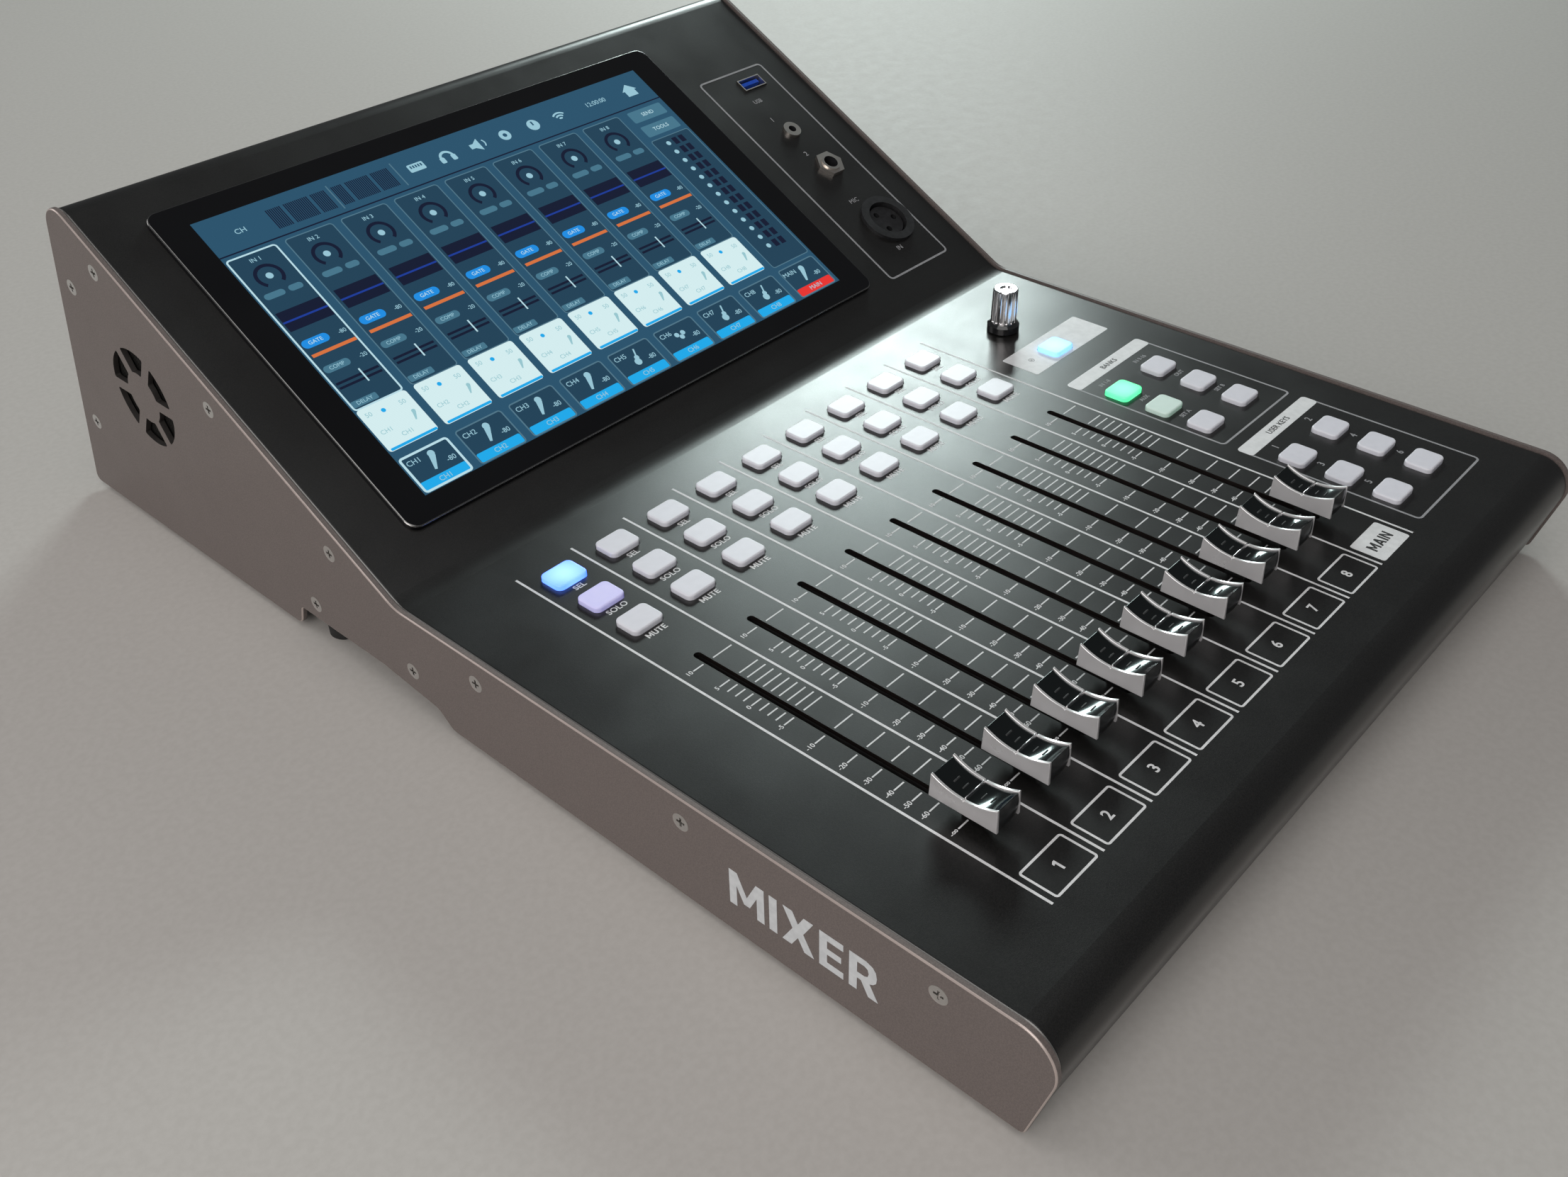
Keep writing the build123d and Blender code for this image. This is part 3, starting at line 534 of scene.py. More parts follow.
def side_part(centre, normal):
    """Picks the outer edge of a side panel, painted lighter as a painted highlight, and the dark cut
    walls of its vent.
    """
    if abs(normal.x) < 0.5 and math.hypot(centre.y - VENT_Y, centre.z - VENT_Z) < VENT_REACH:
        return VENT_CUT
    rounded = 0.25 < abs(normal.x) < 0.97
    return SIDE_EDGE_HIGHLIGHT if rounded and abs(centre.x) > HALF_WIDTH - EDGE_REACH else SIDE_FACE


def glass_part(_centre, normal):
    """The rounded rim of the cover glass is painted paler grey as a painted highlight."""
    return GLASS_HIGHLIGHT_BAND if 0.35 < normal.dot(SLOPE_OUT) < 0.97 else GLASS_FACE


paint("top_panel", [BLACK_COAT, PAINTED_SLOT_HIGHLIGHT, PAINTED_FOLD_HIGHLIGHT], panel_part)
paint("base_tray", [BLACK_COAT])
paint("side_panel_left", [TAUPE_COAT, PAINTED_TAUPE_HIGHLIGHT, VENT_WALL], side_part)
paint("side_panel_right", [TAUPE_COAT, PAINTED_TAUPE_HIGHLIGHT, VENT_WALL], side_part)
paint("case_screws", [STAINLESS])
paint("rubber_feet", [RUBBER])
paint("touch_screen", [GLASS, PAINTED_GLASS_HIGHLIGHT], glass_part)
paint("fader_tracks", [TRACK])
paint("circuit_boards", [BOARD])

KEY_BODY = (0.83, 0.83, 0.90)
# Body colour, the glow's pale middle and deep rim, and its strength.
LIT_KEYS = {
    "sel_key_1": ((0.3, 0.45, 0.6), ((0.20, 0.40, 1.0), (0.03, 0.13, 1.0)), 2.2),
    "solo_key_1": ((0.72, 0.70, 0.95), ((0.5, 0.5, 1.0), (0.35, 0.32, 1.0)), 0.22),
    "bank_key_1": ((0.25, 0.5, 0.4), ((0.22, 1.0, 0.55), (0.02, 0.8, 0.25)), 1.3),
    "bank_key_3": ((0.76, 0.86, 0.84), ((0.4, 0.9, 0.6), (0.2, 0.8, 0.4)), 0.1),
    "home_key": ((0.5, 0.7, 0.8), ((0.30, 0.62, 1.0), (0.10, 0.40, 1.0)), 1.3),
}
PLAIN_KEY = lit_key("key_frosted", KEY_BODY)
for key_name in [name for name in cad_nodes if "_key" in name]:
    if key_name in LIT_KEYS:
        body_colour, glow_colour, glow_strength = LIT_KEYS[key_name]
        lit = lit_key(key_name + "_lit", body_colour, glow_colour, glow_strength, middle(key_name))
        paint(key_name, [lit])
    else:
        paint(key_name, [PLAIN_KEY])

SKIRT_TOP = DECK_Z + 4.3
GRIP, SKIRT = range(2)


def encoder_part(centre, _normal):
    """The skirt below is black, the fluted grip above is chrome."""
    return SKIRT if centre.z < SKIRT_TOP else GRIP


paint("encoder_knob", [CHROME, SKIRT_BLACK], encoder_part)

# Sockets beside the screen by x and distance up the slope; rear ones by their row on the leaning wall.
JACK_SPOT = (134.5, 83.5)
MINI_JACK_SPOT = (133.0, 107.5)
USB_SPOT = (137.0, 139.0)
REAR_LEAN = math.radians(15.7)
REAR_FOOT = Vector((0, 233.5, 3.3))
REAR_UP = Vector((0, -math.sin(REAR_LEAN), math.cos(REAR_LEAN)))
REAR_OUT = Vector((0, math.cos(REAR_LEAN), math.sin(REAR_LEAN)))
LINE_ROW = 54.0
LINE_PITCH = 22.0
XLR_PITCH = 33.0
XLR_FIRST = XLR_PITCH / 2
MOULDING, SHELL, TONGUE, CONTACT = range(4)


def near(spot, x, along, reach):
    return math.hypot(x - spot[0], along - spot[1]) < reach


def socket_part(centre, normal):
    """Tells black mouldings, nickel shells, the blue tongue and gold contacts apart by place."""
    on_slope = centre - Vector((0, BEND_Y, DECK_Z))
    x, along, out = centre.x, on_slope.dot(SLOPE_UP), on_slope.dot(SLOPE_OUT)
    if abs(out) < 22 and 20 < along < 160 and centre.y < 180:
        if out > -0.5 and (near(JACK_SPOT, x, along, 8) or near(MINI_JACK_SPOT, x, along, 5)):
            return SHELL
        if abs(x - USB_SPOT[0]) < 7.5 and abs(along - USB_SPOT[1]) < 4:
            inner = abs(x - USB_SPOT[0]) < 5.6 and abs(along - USB_SPOT[1] - 1.0) < 1.05
            return TONGUE if inner else SHELL
        return MOULDING
    on_rear = centre - REAR_FOOT
    up, out = on_rear.dot(REAR_UP), on_rear.dot(REAR_OUT)
    line_jack = abs(up - LINE_ROW) < 8 and x < -10
    data_port = up < 30 and abs(x) < 80
    if out > -0.5 and (line_jack or data_port):
        return SHELL
    if abs(up - LINE_ROW) < 12 and x > 10 and -7.5 < out < 0.7 and abs(normal.dot(REAR_OUT)) < 0.5:
        off_axis = (x - XLR_FIRST) % XLR_PITCH
        return CONTACT if 0 < min(off_axis, XLR_PITCH - off_axis) < 6 else MOULDING
    return MOULDING


paint("panel_sockets", [SOCKET, NICKEL, USB_BLUE, CONTACT_GOLD], socket_part)

# ---------------------------------------------------------------- fader caps: copies of one mesh
CAP_HALF = 5.4
PLATE = 0.95
CAP_BOTTOM = 4.6
SADDLE = 9.9
RIM_HALF = 10.9
FOOT_HALF = 11.3
INLAY_DROP = 0.5
SCOOP = 0.35
END_INSET, TOP_INSET = 0.7, 0.15
SIDEWAYS_BELLY, UPRIGHT_BELLY = 0.9, 0.45
CAP_MATERIALS = (SILVER, MIRROR_BLACK, END_BLACK, CHROME, STEM_DARK, DASH_DARK, RIM_SILVER_HIGHLIGHT)
ON_PLATE, ON_INLAY, ON_END, ON_RIDGE, ON_STEM, ON_DASH, ON_RIM_HIGHLIGHT = range(len(CAP_MATERIALS))


def saddle_height(y):
    """Height of a cap's top edge, lowest in the middle."""
    return SADDLE + (CAP_RIM - SADDLE) * (y / RIM_HALF) ** 2


def prism(mesh, outline, x0, x1, material=0):
    """A closed prism along X from an outline in (y, z)."""
    first = [mesh.verts.new((x0 * MM, y * MM, z * MM)) for y, z in outline]
    far = [mesh.verts.new((x1 * MM, y * MM, z * MM)) for y, z in outline]
    faces = [mesh.faces.new(first), mesh.faces.new(far[::-1])]
    for i in range(len(outline)):
        j = (i + 1) % len(outline)
        faces.append(mesh.faces.new((first[j], first[i], far[i], far[j])))
    for face in faces:
        face.material_index = material


def brick(mesh, x0, x1, y0, y1, z0, z1, material=0):
    prism(mesh, [(y0, z0), (y1, z0), (y1, z1), (y0, z1)], x0, x1, material)


def cap_plate_outline():
    """Side plate of a cap: flat foot, upright ends and a saddle top with a notch at its middle."""
    top = []
    steps = 24
    notch = 0.35
    for i in range(steps + 1):
        y = RIM_HALF - 2 * RIM_HALF * i / steps
        if i == steps // 2:
            top += [(notch, saddle_height(0)), (0.0, saddle_height(0) - 0.6), (-notch, saddle_height(0))]
        else:
            top.append((y, saddle_height(y)))
    return [(-FOOT_HALF, CAP_BOTTOM), (FOOT_HALF, CAP_BOTTOM)] + top


def cap_core(mesh):
    """The dark core between the plates: scooped top halves and ends that bulge both ways."""
    across, along, rise = 10, 20, 6
    half = CAP_HALF - PLATE + 0.05
    rings = []
    for i in range(across + 1):
        x = -half + 2 * half * i / across
        crown = 1 - (x / half) ** 2
        points = []
        for k in range(rise + 1):
            part = k / rise
            low_y, high_y = FOOT_HALF - END_INSET, RIM_HALF - TOP_INSET
            belly = math.sin(math.pi * min(1, 0.15 + part * 0.85))
            y = low_y + (high_y - low_y) * part + SIDEWAYS_BELLY * crown * belly
            y += UPRIGHT_BELLY * math.sin(math.pi * part)
            z = CAP_BOTTOM + 0.3 + (CAP_RIM - INLAY_DROP - CAP_BOTTOM - 0.3) * part
            points.append((y, z))
        top_y = points[-1][0]
        for k in range(1, along):
            y = top_y - 2 * top_y * k / along
            scoop = SCOOP * math.sin(math.pi * min(1.0, abs(y) / RIM_HALF))
            points.append((y, saddle_height(y) - INLAY_DROP - scoop * (0.4 + 0.6 * crown)))
        for k in range(rise, -1, -1):
            y, z = points[k]
            points.append((-y, z))
        rings.append([mesh.verts.new((x * MM, y * MM, z * MM)) for y, z in points])
    count = len(rings[0])
    for i in range(across):
        for k in range(count):
            m = (k + 1) % count
            face = mesh.faces.new((rings[i][k], rings[i + 1][k], rings[i + 1][m], rings[i][m]))
            face.material_index = ON_INLAY if rise <= k < rise + along else ON_END
    for ring in (rings[0], rings[-1]):
        mesh.faces.new(ring).material_index = ON_END


def cap_mesh():
    """One fader cap at the origin: two plates, core, cross ridge, grip dashes, floor and stem."""
    mesh = bmesh.new()
    outline = cap_plate_outline()
    inside = CAP_HALF - PLATE
    prism(mesh, outline, -CAP_HALF, -inside, ON_PLATE)
    prism(mesh, outline, inside, CAP_HALF, ON_PLATE)
    cap_core(mesh)
    ridge = [(-0.55, SADDLE - 1.0), (0.55, SADDLE - 1.0), (0.16, SADDLE + 0.35), (-0.16, SADDLE + 0.35)]
    prism(mesh, ridge, -inside, inside, ON_RIDGE)
    for y in (-6.0, -3.0, 3.0, 6.0):
        z = saddle_height(y) - INLAY_DROP - 0.32
        slope = 2 * (CAP_RIM - SADDLE) * y / RIM_HALF ** 2
        dash = [(y - 0.35, z - 0.35 * slope - 0.3), (y + 0.35, z + 0.35 * slope - 0.3),
                (y + 0.22, z + 0.3 * slope + 0.2), (y - 0.22, z - 0.3 * slope + 0.2)]
        prism(mesh, dash, -1.4, 1.4, ON_DASH)
    end = FOOT_HALF - 0.6
    brick(mesh, -inside, inside, -end, end, CAP_BOTTOM, CAP_BOTTOM + 0.4, ON_END)
    brick(mesh, -1.7, 1.7, -4.5, 4.5, 1.8, CAP_BOTTOM + 0.1, ON_STEM)
    brick(mesh, -0.6, 0.6, -3.5, 3.5, -8.0, 1.9, ON_STEM)
    bmesh.ops.recalc_face_normals(mesh, faces=mesh.faces)
    # Upward-facing plate faces get the rim material, painted lighter as a painted highlight.
    for face in mesh.faces:
        if face.material_index == ON_PLATE and face.normal.z > 0.5:
            face.material_index = ON_RIM_HIGHLIGHT
    data = bpy.data.meshes.new("fader_cap")
    mesh.to_mesh(data)
    mesh.free()
    for material in CAP_MATERIALS:
        data.materials.append(material)
    data.shade_smooth()
    data.set_sharp_from_angle(angle=math.radians(38))
    return data


shared_cap = cap_mesh()
for strip_name, strip_x in zip(STRIPS, STRIP_X):
    cap_data = shared_cap.copy()
    cap_data.transform(Matrix.Translation(Vector((strip_x, FADER_Y, DECK_Z)) * MM))
    cap = attach(f"cap_{strip_name}", cap_data, f"fader_{strip_name}", bevel=0.16)
    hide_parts(f"fader_{strip_name}")

# ---------------------------------------------------------------- deck silkscreen
LINE_OFFSET = -11.8
LINE_FRONT_Y = -207.2
LINE_REAR_Y = 3.4
LINE = 0.85
TICK = 0.5
SCALE_TOP = FADER_Y + TRAVEL
SCALE = {"10": 0.0, "5": 11.1, "0": 24.1, "-5": 37.1, "-10": 49.0, "-20": 61.1,
         "-30": 70.1, "-40": 77.9, "-50": 84.2, "-60": 90.2, "-∞": 100.0}
FINE_STEPS = 8
LABEL_RIGHT = 4.9
LABEL_TICK = (5.3, 9.7)
RIGHT_TICK = (14.0, 22.2)

lines = deck_sheet()
for index in range(len(STRIPS) + 1):
    x = STRIP_X[0] + LINE_OFFSET + PITCH * index
    lines.bar(x - LINE / 2, LINE_FRONT_Y, x + LINE / 2, LINE_REAR_Y)
# The fine steps run between 5 and -5; their middle one is the mark of 0, which SCALE already holds.
fine_drops = [SCALE["5"] + (SCALE["-5"] - SCALE["5"]) * step / FINE_STEPS
              for step in range(1, FINE_STEPS) if step != FINE_STEPS // 2]
for strip_x in STRIP_X:
    left = strip_x + LINE_OFFSET
    for drop in list(SCALE.values()) + fine_drops:
        y = SCALE_TOP - drop
        for near_x, far_x in (LABEL_TICK, RIGHT_TICK):
            lines.bar(left + near_x, y - TICK / 2, left + far_x, y + TICK / 2)
BOX_LEFT, BOX_RIGHT, BOX_REAR = 2.3, 21.9, -194.6
for strip_x in STRIP_X[:-1]:
    left = strip_x + LINE_OFFSET
    lines.frame(left + BOX_LEFT, LINE_FRONT_Y, left + BOX_RIGHT, BOX_REAR, 1.2, 0.75)
lines.finish("deck_lines", WHITE_INK, "black_powder")

main_left = STRIP_X[-1] + LINE_OFFSET
main_field = deck_sheet()
main_field.rounded(main_left + BOX_LEFT, LINE_FRONT_Y, main_left + BOX_RIGHT, BOX_REAR, 1.0)
main_field.finish("main_field", PLATE_INK, "black_powder")

KEY_WORD_DROP = 7.6
KEY_WORD_SIZE = 2.4
SCALE_LABEL_SIZE = 1.75
STRIP_NUMBER_SIZE = 3.8
MAIN_SIZE = 4.0
BOX_MIDDLE = (LINE_FRONT_Y + BOX_REAR) / 2

letters = deck_sheet()
for strip_name, strip_x in zip(STRIPS, STRIP_X):
    left = strip_x + LINE_OFFSET
    for label, drop in SCALE.items():
        y = SCALE_TOP - drop
        letters.text(label, left + LABEL_RIGHT, y, SCALE_LABEL_SIZE, align="RIGHT", bold=0.015)
    for word, key_row in (("SEL", "sel"), ("SOLO", "solo"), ("MUTE", "mute")):
        word_y = middle(f"{key_row}_key_{strip_name}").y - KEY_WORD_DROP
        if word == "MUTE":
            letters.heavy(word, strip_x, word_y, KEY_WORD_SIZE)
        else:
            letters.text(word, strip_x, word_y, KEY_WORD_SIZE, bold=0.015)
    if strip_name != "main":
        letters.numeral(strip_name, strip_x, BOX_MIDDLE, STRIP_NUMBER_SIZE, 0.02)
letters.finish("deck_lettering", WHITE_INK, "black_powder")

main_word = deck_sheet()
main_word.heavy("MAIN", STRIP_X[-1] + 0.2, BOX_MIDDLE, MAIN_SIZE, 2 * PRINT_THICKNESS)
main_word.finish("main_lettering", DARK_INK, "black_powder")

# ---------------------------------------------------------------- right-hand blocks
BLOCK_LEFT, BLOCK_RIGHT = 95.5, 147.6
TITLE_DEPTH = 6.6
BLOCKS = {"bank": (-62.0, -131.4), "user": (-136.2, -206.1)}
PLATE_REAR, PLATE_FRONT = -31.2, -48.6
BANK_LABELS = ["IN 1-8", "IN 9-16", "AUX", "OUT", "SET A", "SET B"]
BANK_WORD_SIZE, USER_NUMBER_SIZE, TITLE_SIZE = 1.9, 2.9, 2.4
LABEL_ASIDE, LABEL_BEHIND = 1.6, 9.4

block_lines = deck_sheet()
titles = deck_sheet()
block_words = deck_sheet()
title_words = deck_sheet()
for block_name, (rear_y, front_y) in BLOCKS.items():
    block_lines.frame(BLOCK_LEFT, front_y, BLOCK_RIGHT, rear_y, 2.2, 0.85)
    titles.rounded(BLOCK_LEFT, rear_y - TITLE_DEPTH, BLOCK_RIGHT, rear_y, 1.6, 1.5 * PRINT_THICKNESS)
    for number in range(6):
        spot = middle(f"{block_name}_key_{number + 1}")
        words = BANK_LABELS[number] if block_name == "bank" else str(number + 1)
        size = BANK_WORD_SIZE if block_name == "bank" else USER_NUMBER_SIZE
        block_words.text(words, spot.x + LABEL_ASIDE, spot.y + LABEL_BEHIND, size, bold=0.015)
    title = "BANKS" if block_name == "bank" else "USER KEYS"
    title_x, title_y = (BLOCK_LEFT + BLOCK_RIGHT) / 2, rear_y - TITLE_DEPTH / 2
    title_words.text(title, title_x, title_y, TITLE_SIZE, 2.5 * PRINT_THICKNESS, bold=0.01)
block_lines.finish("block_frames", GREY_INK, "black_powder")
block_words.finish("block_lettering", GREY_INK, "black_powder")
title_words.finish("title_lettering", DARK_INK, "black_powder")

# The pale plate round the single key, open over the key's hole.
KEY_COLLAR = 0.8
key_low, key_high = (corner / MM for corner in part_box("home_key"))
hole = rounded_outline(key_low.x + KEY_COLLAR, key_low.y + KEY_COLLAR,
                       key_high.x - KEY_COLLAR, key_high.y - KEY_COLLAR, 2.4)
titles.ring(rounded_outline(BLOCK_LEFT, PLATE_FRONT, BLOCK_RIGHT, PLATE_REAR, 0.9), hole)
titles.finish("pale_fields", PLATE_INK, "black_powder")
home_mark = deck_sheet()
mark_x, mark_y = BLOCK_LEFT + 8.4, (PLATE_REAR + PLATE_FRONT) / 2
home_mark.arc(mark_x, mark_y, 1.3, 0.35, 0, 360, 2 * PRINT_THICKNESS)
home_mark.disc(mark_x, mark_y, 0.5, 2 * PRINT_THICKNESS)
home_mark.finish("home_mark", GREY_INK, "black_powder")

# ---------------------------------------------------------------- socket column print
PORT_LEFT, PORT_RIGHT, PORT_FRONT, PORT_REAR = 110.2, 150.7, 19.3, 147.9
ports = slope_sheet()
ports.frame(PORT_LEFT, PORT_FRONT, PORT_RIGHT, PORT_REAR, 2.4, 0.9)
PORT_LABELS = (("1", 129.0, 116.5, 2.6), ("2", 129.0, 93.5, 2.6), ("MIC", 129.5, 62.0, 2.4),
               ("IN", 129.0, 31.5, 2.4), ("USB", 131.0, 128.5, 2.2))
for words, x, along, size in PORT_LABELS:
    # The font's M overlaps itself when it is thickened.
    ports.text(words, x, along, size, bold=0.0 if "M" in words else 0.012)
ports.finish("port_print", GREY_INK, "black_powder")

# ---------------------------------------------------------------- the display
# Layer n of the screen page lies n times LEVEL above the glass.
SCREEN_X, SCREEN_S = -132.1, 29.9
SCREEN_WIDTH, SCREEN_HEIGHT = 217.0, 135.7
UI_PITCH = 24.13
LEVEL = 0.02


def screen_sheet():
    """Points are millimetres from the lit area's lower left corner."""
    sheet = slope_sheet(GLASS_THICKNESS)
    sheet.origin += sheet.right * SCREEN_X + sheet.up * SCREEN_S
    return sheet


UI_COLOURS = {
    "base": (0.022, 0.090, 0.160),
    "panel": (0.014, 0.056, 0.100),
    "edge": (0.085, 0.190, 0.260),
    "dark": (0.004, 0.008, 0.030),
    "pill": (0.065, 0.190, 0.275),
    "text": (0.330, 0.590, 0.700),
    "white": (0.520, 0.770, 0.850),
    "card": (0.700, 0.900, 0.920),
    "cyan": (0.012, 0.420, 0.870),
    "blue": (0.012, 0.280, 0.800),
    "curve": (0.010, 0.045, 0.330),
    "orange": (0.720, 0.180, 0.050),
    "red": (0.850, 0.035, 0.030),
    "faint": (0.330, 0.600, 0.660),
}
ui = {name: screen_sheet() for name in UI_COLOURS}


def microphone(sheet, x, y, size, height):
    """A slanted hand microphone: a round head on a tapering handle."""
    sheet.disc(x + 0.18 * size, y + 0.34 * size, 0.19 * size, height, 14)
    sheet.slab([(x - 0.2 * size, y - 0.48 * size), (x - 0.08 * size, y - 0.52 * size),
                (x + 0.33 * size, y + 0.2 * size), (x + 0.0 * size, y + 0.26 * size)], height)


def guitar(sheet, x, y, size, height):
    """A slanted guitar: two discs for the body and a neck."""
    sheet.disc(x - 0.08 * size, y - 0.28 * size, 0.22 * size, height, 14)
    sheet.disc(x + 0.02 * size, y - 0.02 * size, 0.15 * size, height, 12)
    sheet.slab([(x - 0.02 * size, y), (x + 0.07 * size, y - 0.02 * size),
                (x + 0.26 * size, y + 0.5 * size), (x + 0.17 * size, y + 0.53 * size)], height)


def ui_strip(index):
    """One channel column: dial, equaliser window, gate, compressor, delay and card."""
    left = 0.6 + UI_PITCH * index
    right = left + 20.8
    chosen = index == 0
    ui["panel"].rounded(left, 39.9, right, 115.9, 1.6, 2 * LEVEL)
    edge = ui["white"] if chosen else ui["edge"]
    edge.frame(left, 39.9, right, 115.9, 1.6, 0.7 if chosen else 0.45, 3 * LEVEL)
    ui["text"].text(f"IN {index + 1}", left + 10.2, 112.2, 1.9, 4 * LEVEL)
    ui["dark"].arc(left + 10.2, 103.9, 5.6, 1.4, -50, 230, 4 * LEVEL)
    ui["text"].disc(left + 10.2, 103.9, 1.4, 4 * LEVEL, 16)
    ui["pill"].rounded(left + 2.6, 94.4, left + 10.8, 97.1, 1.3, 4 * LEVEL)
    ui["pill"].rounded(left + 12.5, 94.4, left + 18.2, 97.1, 1.3, 4 * LEVEL)
    ui["dark"].bar(left + 1.6, 79.0, right - 0.9, 88.2, 4 * LEVEL)
    ui["curve"].bar(left + 1.6, 82.9, right - 0.9, 83.7, 5 * LEVEL)
    ui["blue"].rounded(left + 1.4, 70.1, left + 12.2, 73.9, 1.8, 4 * LEVEL)
    ui["white"].text("GATE", left + 6.8, 72.0, 1.7, 5 * LEVEL)
    ui["text"].text("-80", left + 17.6, 71.6, 1.8, 4 * LEVEL)
    ui["orange"].bar(left + 1.7, 65.9, right - 0.9, 67.3, 4 * LEVEL)
    ui["pill"].rounded(left + 1.4, 57.9, left + 12.0, 61.1, 1.5, 4 * LEVEL)
    ui["text"].text("COMP", left + 6.7, 59.5, 1.6, 5 * LEVEL)
    ui["text"].text("-20", left + 17.6, 59.4, 1.8, 4 * LEVEL)
    ui["dark"].bar(left + 1.5, 52.2, left + 19.2, 53.2, 4 * LEVEL)
    ui["dark"].bar(left + 1.5, 50.1, left + 19.2, 51.1, 4 * LEVEL)
    ui["white"].bar(left + 12.1, 48.9, left + 12.7, 55.0, 5 * LEVEL)
    ui["pill"].rounded(left + 0.7, 41.2, left + 11.2, 44.0, 0.6, 4 * LEVEL)
    ui["text"].text("DELAY", left + 6.0, 42.6, 1.6, 5 * LEVEL)
    ui["card"].rounded(left, 20.1, right, 39.9, 1.3, 5 * LEVEL)
    ui["cyan"].rounded(left + 0.9, 20.3, right - 0.3, 21.4, 0.4, 6 * LEVEL)
    ui["faint"].text("50", left + 3.2, 36.6, 2.0, 6 * LEVEL)
    ui["faint"].text("50", left + 16.8, 35.8, 2.0, 6 * LEVEL)
    ui["cyan"].disc(left + 8.9, 36.0, 0.9, 6 * LEVEL, 12)
    microphone(ui["faint"], left + 17.0, 29.4, 4.2, 6 * LEVEL)
    ui["faint"].text(f"CH{index + 1}", left + 4.6, 28.2, 1.9, 6 * LEVEL)
    ui["faint"].text(f"CH{index + 1}", left + 10.6, 24.4, 1.9, 6 * LEVEL)
    ui_tile(index, left, right, "cyan", f"CH{index + 1}")


def ui_tile(index, left, right, bar_colour, words):
    """The lowest row: one tile a strip, with an icon, a level and a coloured name bar."""
    chosen = index == 0
    ui["dark"].rounded(left, 0.3, right, 16.5, 1.5, 2 * LEVEL)
    ui["panel"].rounded(left + 0.6, 0.9, right - 0.6, 15.9, 1.1, 3 * LEVEL)
    edge = ui["white"] if chosen else ui["edge"]
    edge.frame(left, 0.3, right, 16.5, 1.5, 0.9 if chosen else 0.55, 5 * LEVEL)
    ui[bar_colour].rounded(left + 0.7, 0.9, right - 0.7, 4.8, 0.7, 4 * LEVEL)
    ui["text"].text(words, (left + right) / 2, 2.8, 2.1, 5 * LEVEL)
    ui["text"].text(words, left + 4.4, 13.0, 2.2, 5 * LEVEL)
    ui["text"].text("-80", left + 16.8, 8.2, 2.1, 5 * LEVEL)
    if index in (4, 6, 7):
        guitar(ui["text"], left + 10.6, 10.6, 7.2, 5 * LEVEL)
    elif index != 5:
        microphone(ui["text"], left + 10.4, 10.6, 7.4, 5 * LEVEL)
    else:
        for offset in (-1.6, 0.0, 1.6):
            ui["text"].disc(left + 10.5 + offset, 9.6 + abs(offset), 1.1, 5 * LEVEL, 12)


def ui_top_bar():
    """The row of level groups, plain icons and the clock."""
    ui["text"].text("CH", 14.0, 126.0, 2.4, 3 * LEVEL)
    for group_x, widths in ((27.0, (6.4, 10.4, 6.4)), (55.4, (5.0, 10.4, 8.4))):
        x = group_x
        for width in widths:
            count = int(width / 0.8)
            for i in range(count):
                ui["dark"].bar(x + i * 0.8, 121.0, x + i * 0.8 + 0.45, 130.6, 3 * LEVEL)
            x += width + 1.2
    ui["edge"].bar(54.0, 119.6, 54.5, 132.0, 3 * LEVEL)
    ui["edge"].bar(83.2, 119.6, 83.7, 132.0, 3 * LEVEL)
    y = 126.3
    ui["text"].rounded(88.6, y - 2.0, 96.0, y + 2.0, 0.6, 3 * LEVEL)
    for i in range(5):
        ui["base"].bar(89.6 + i * 1.2, y - 0.2, 90.3 + i * 1.2, y + 1.2, 4 * LEVEL)
    ui["text"].arc(107.0, y - 0.6, 3.4, 1.1, 0, 180, 3 * LEVEL)
    ui["text"].rounded(103.2, y - 3.0, 105.4, y, 0.6, 3 * LEVEL)
    ui["text"].rounded(108.6, y - 3.0, 110.8, y, 0.6, 3 * LEVEL)
    ui["text"].slab([(119.0, y - 1.2), (121.0, y - 1.2), (123.8, y - 3.2), (123.8, y + 3.2),
                     (121.0, y + 1.2), (119.0, y + 1.2)], 3 * LEVEL)
    ui["text"].arc(124.0, y, 2.6, 0.6, -45, 45, 3 * LEVEL)
    ui["text"].disc(136.8, y, 2.7, 3 * LEVEL)
    ui["base"].disc(136.8, y, 1.0, 4 * LEVEL, 12)
    ui["text"].disc(151.9, y, 2.9, 3 * LEVEL)
    ui["base"].bar(151.5, y - 0.2, 152.3, y + 2.0, 4 * LEVEL)
    for radius in (4.4, 2.9, 1.4):
        ui["text"].arc(166.0, y - 2.4, radius, 0.8, 45, 135, 3 * LEVEL)
    ui["text"].text("12:00:00", 186.6, y, 2.4, 3 * LEVEL)
    ui["text"].slab([(202.6, y), (206.6, y + 3.6), (210.6, y), (209.4, y), (209.4, y - 3.2),
                     (203.8, y - 3.2), (203.8, y)], 3 * LEVEL)


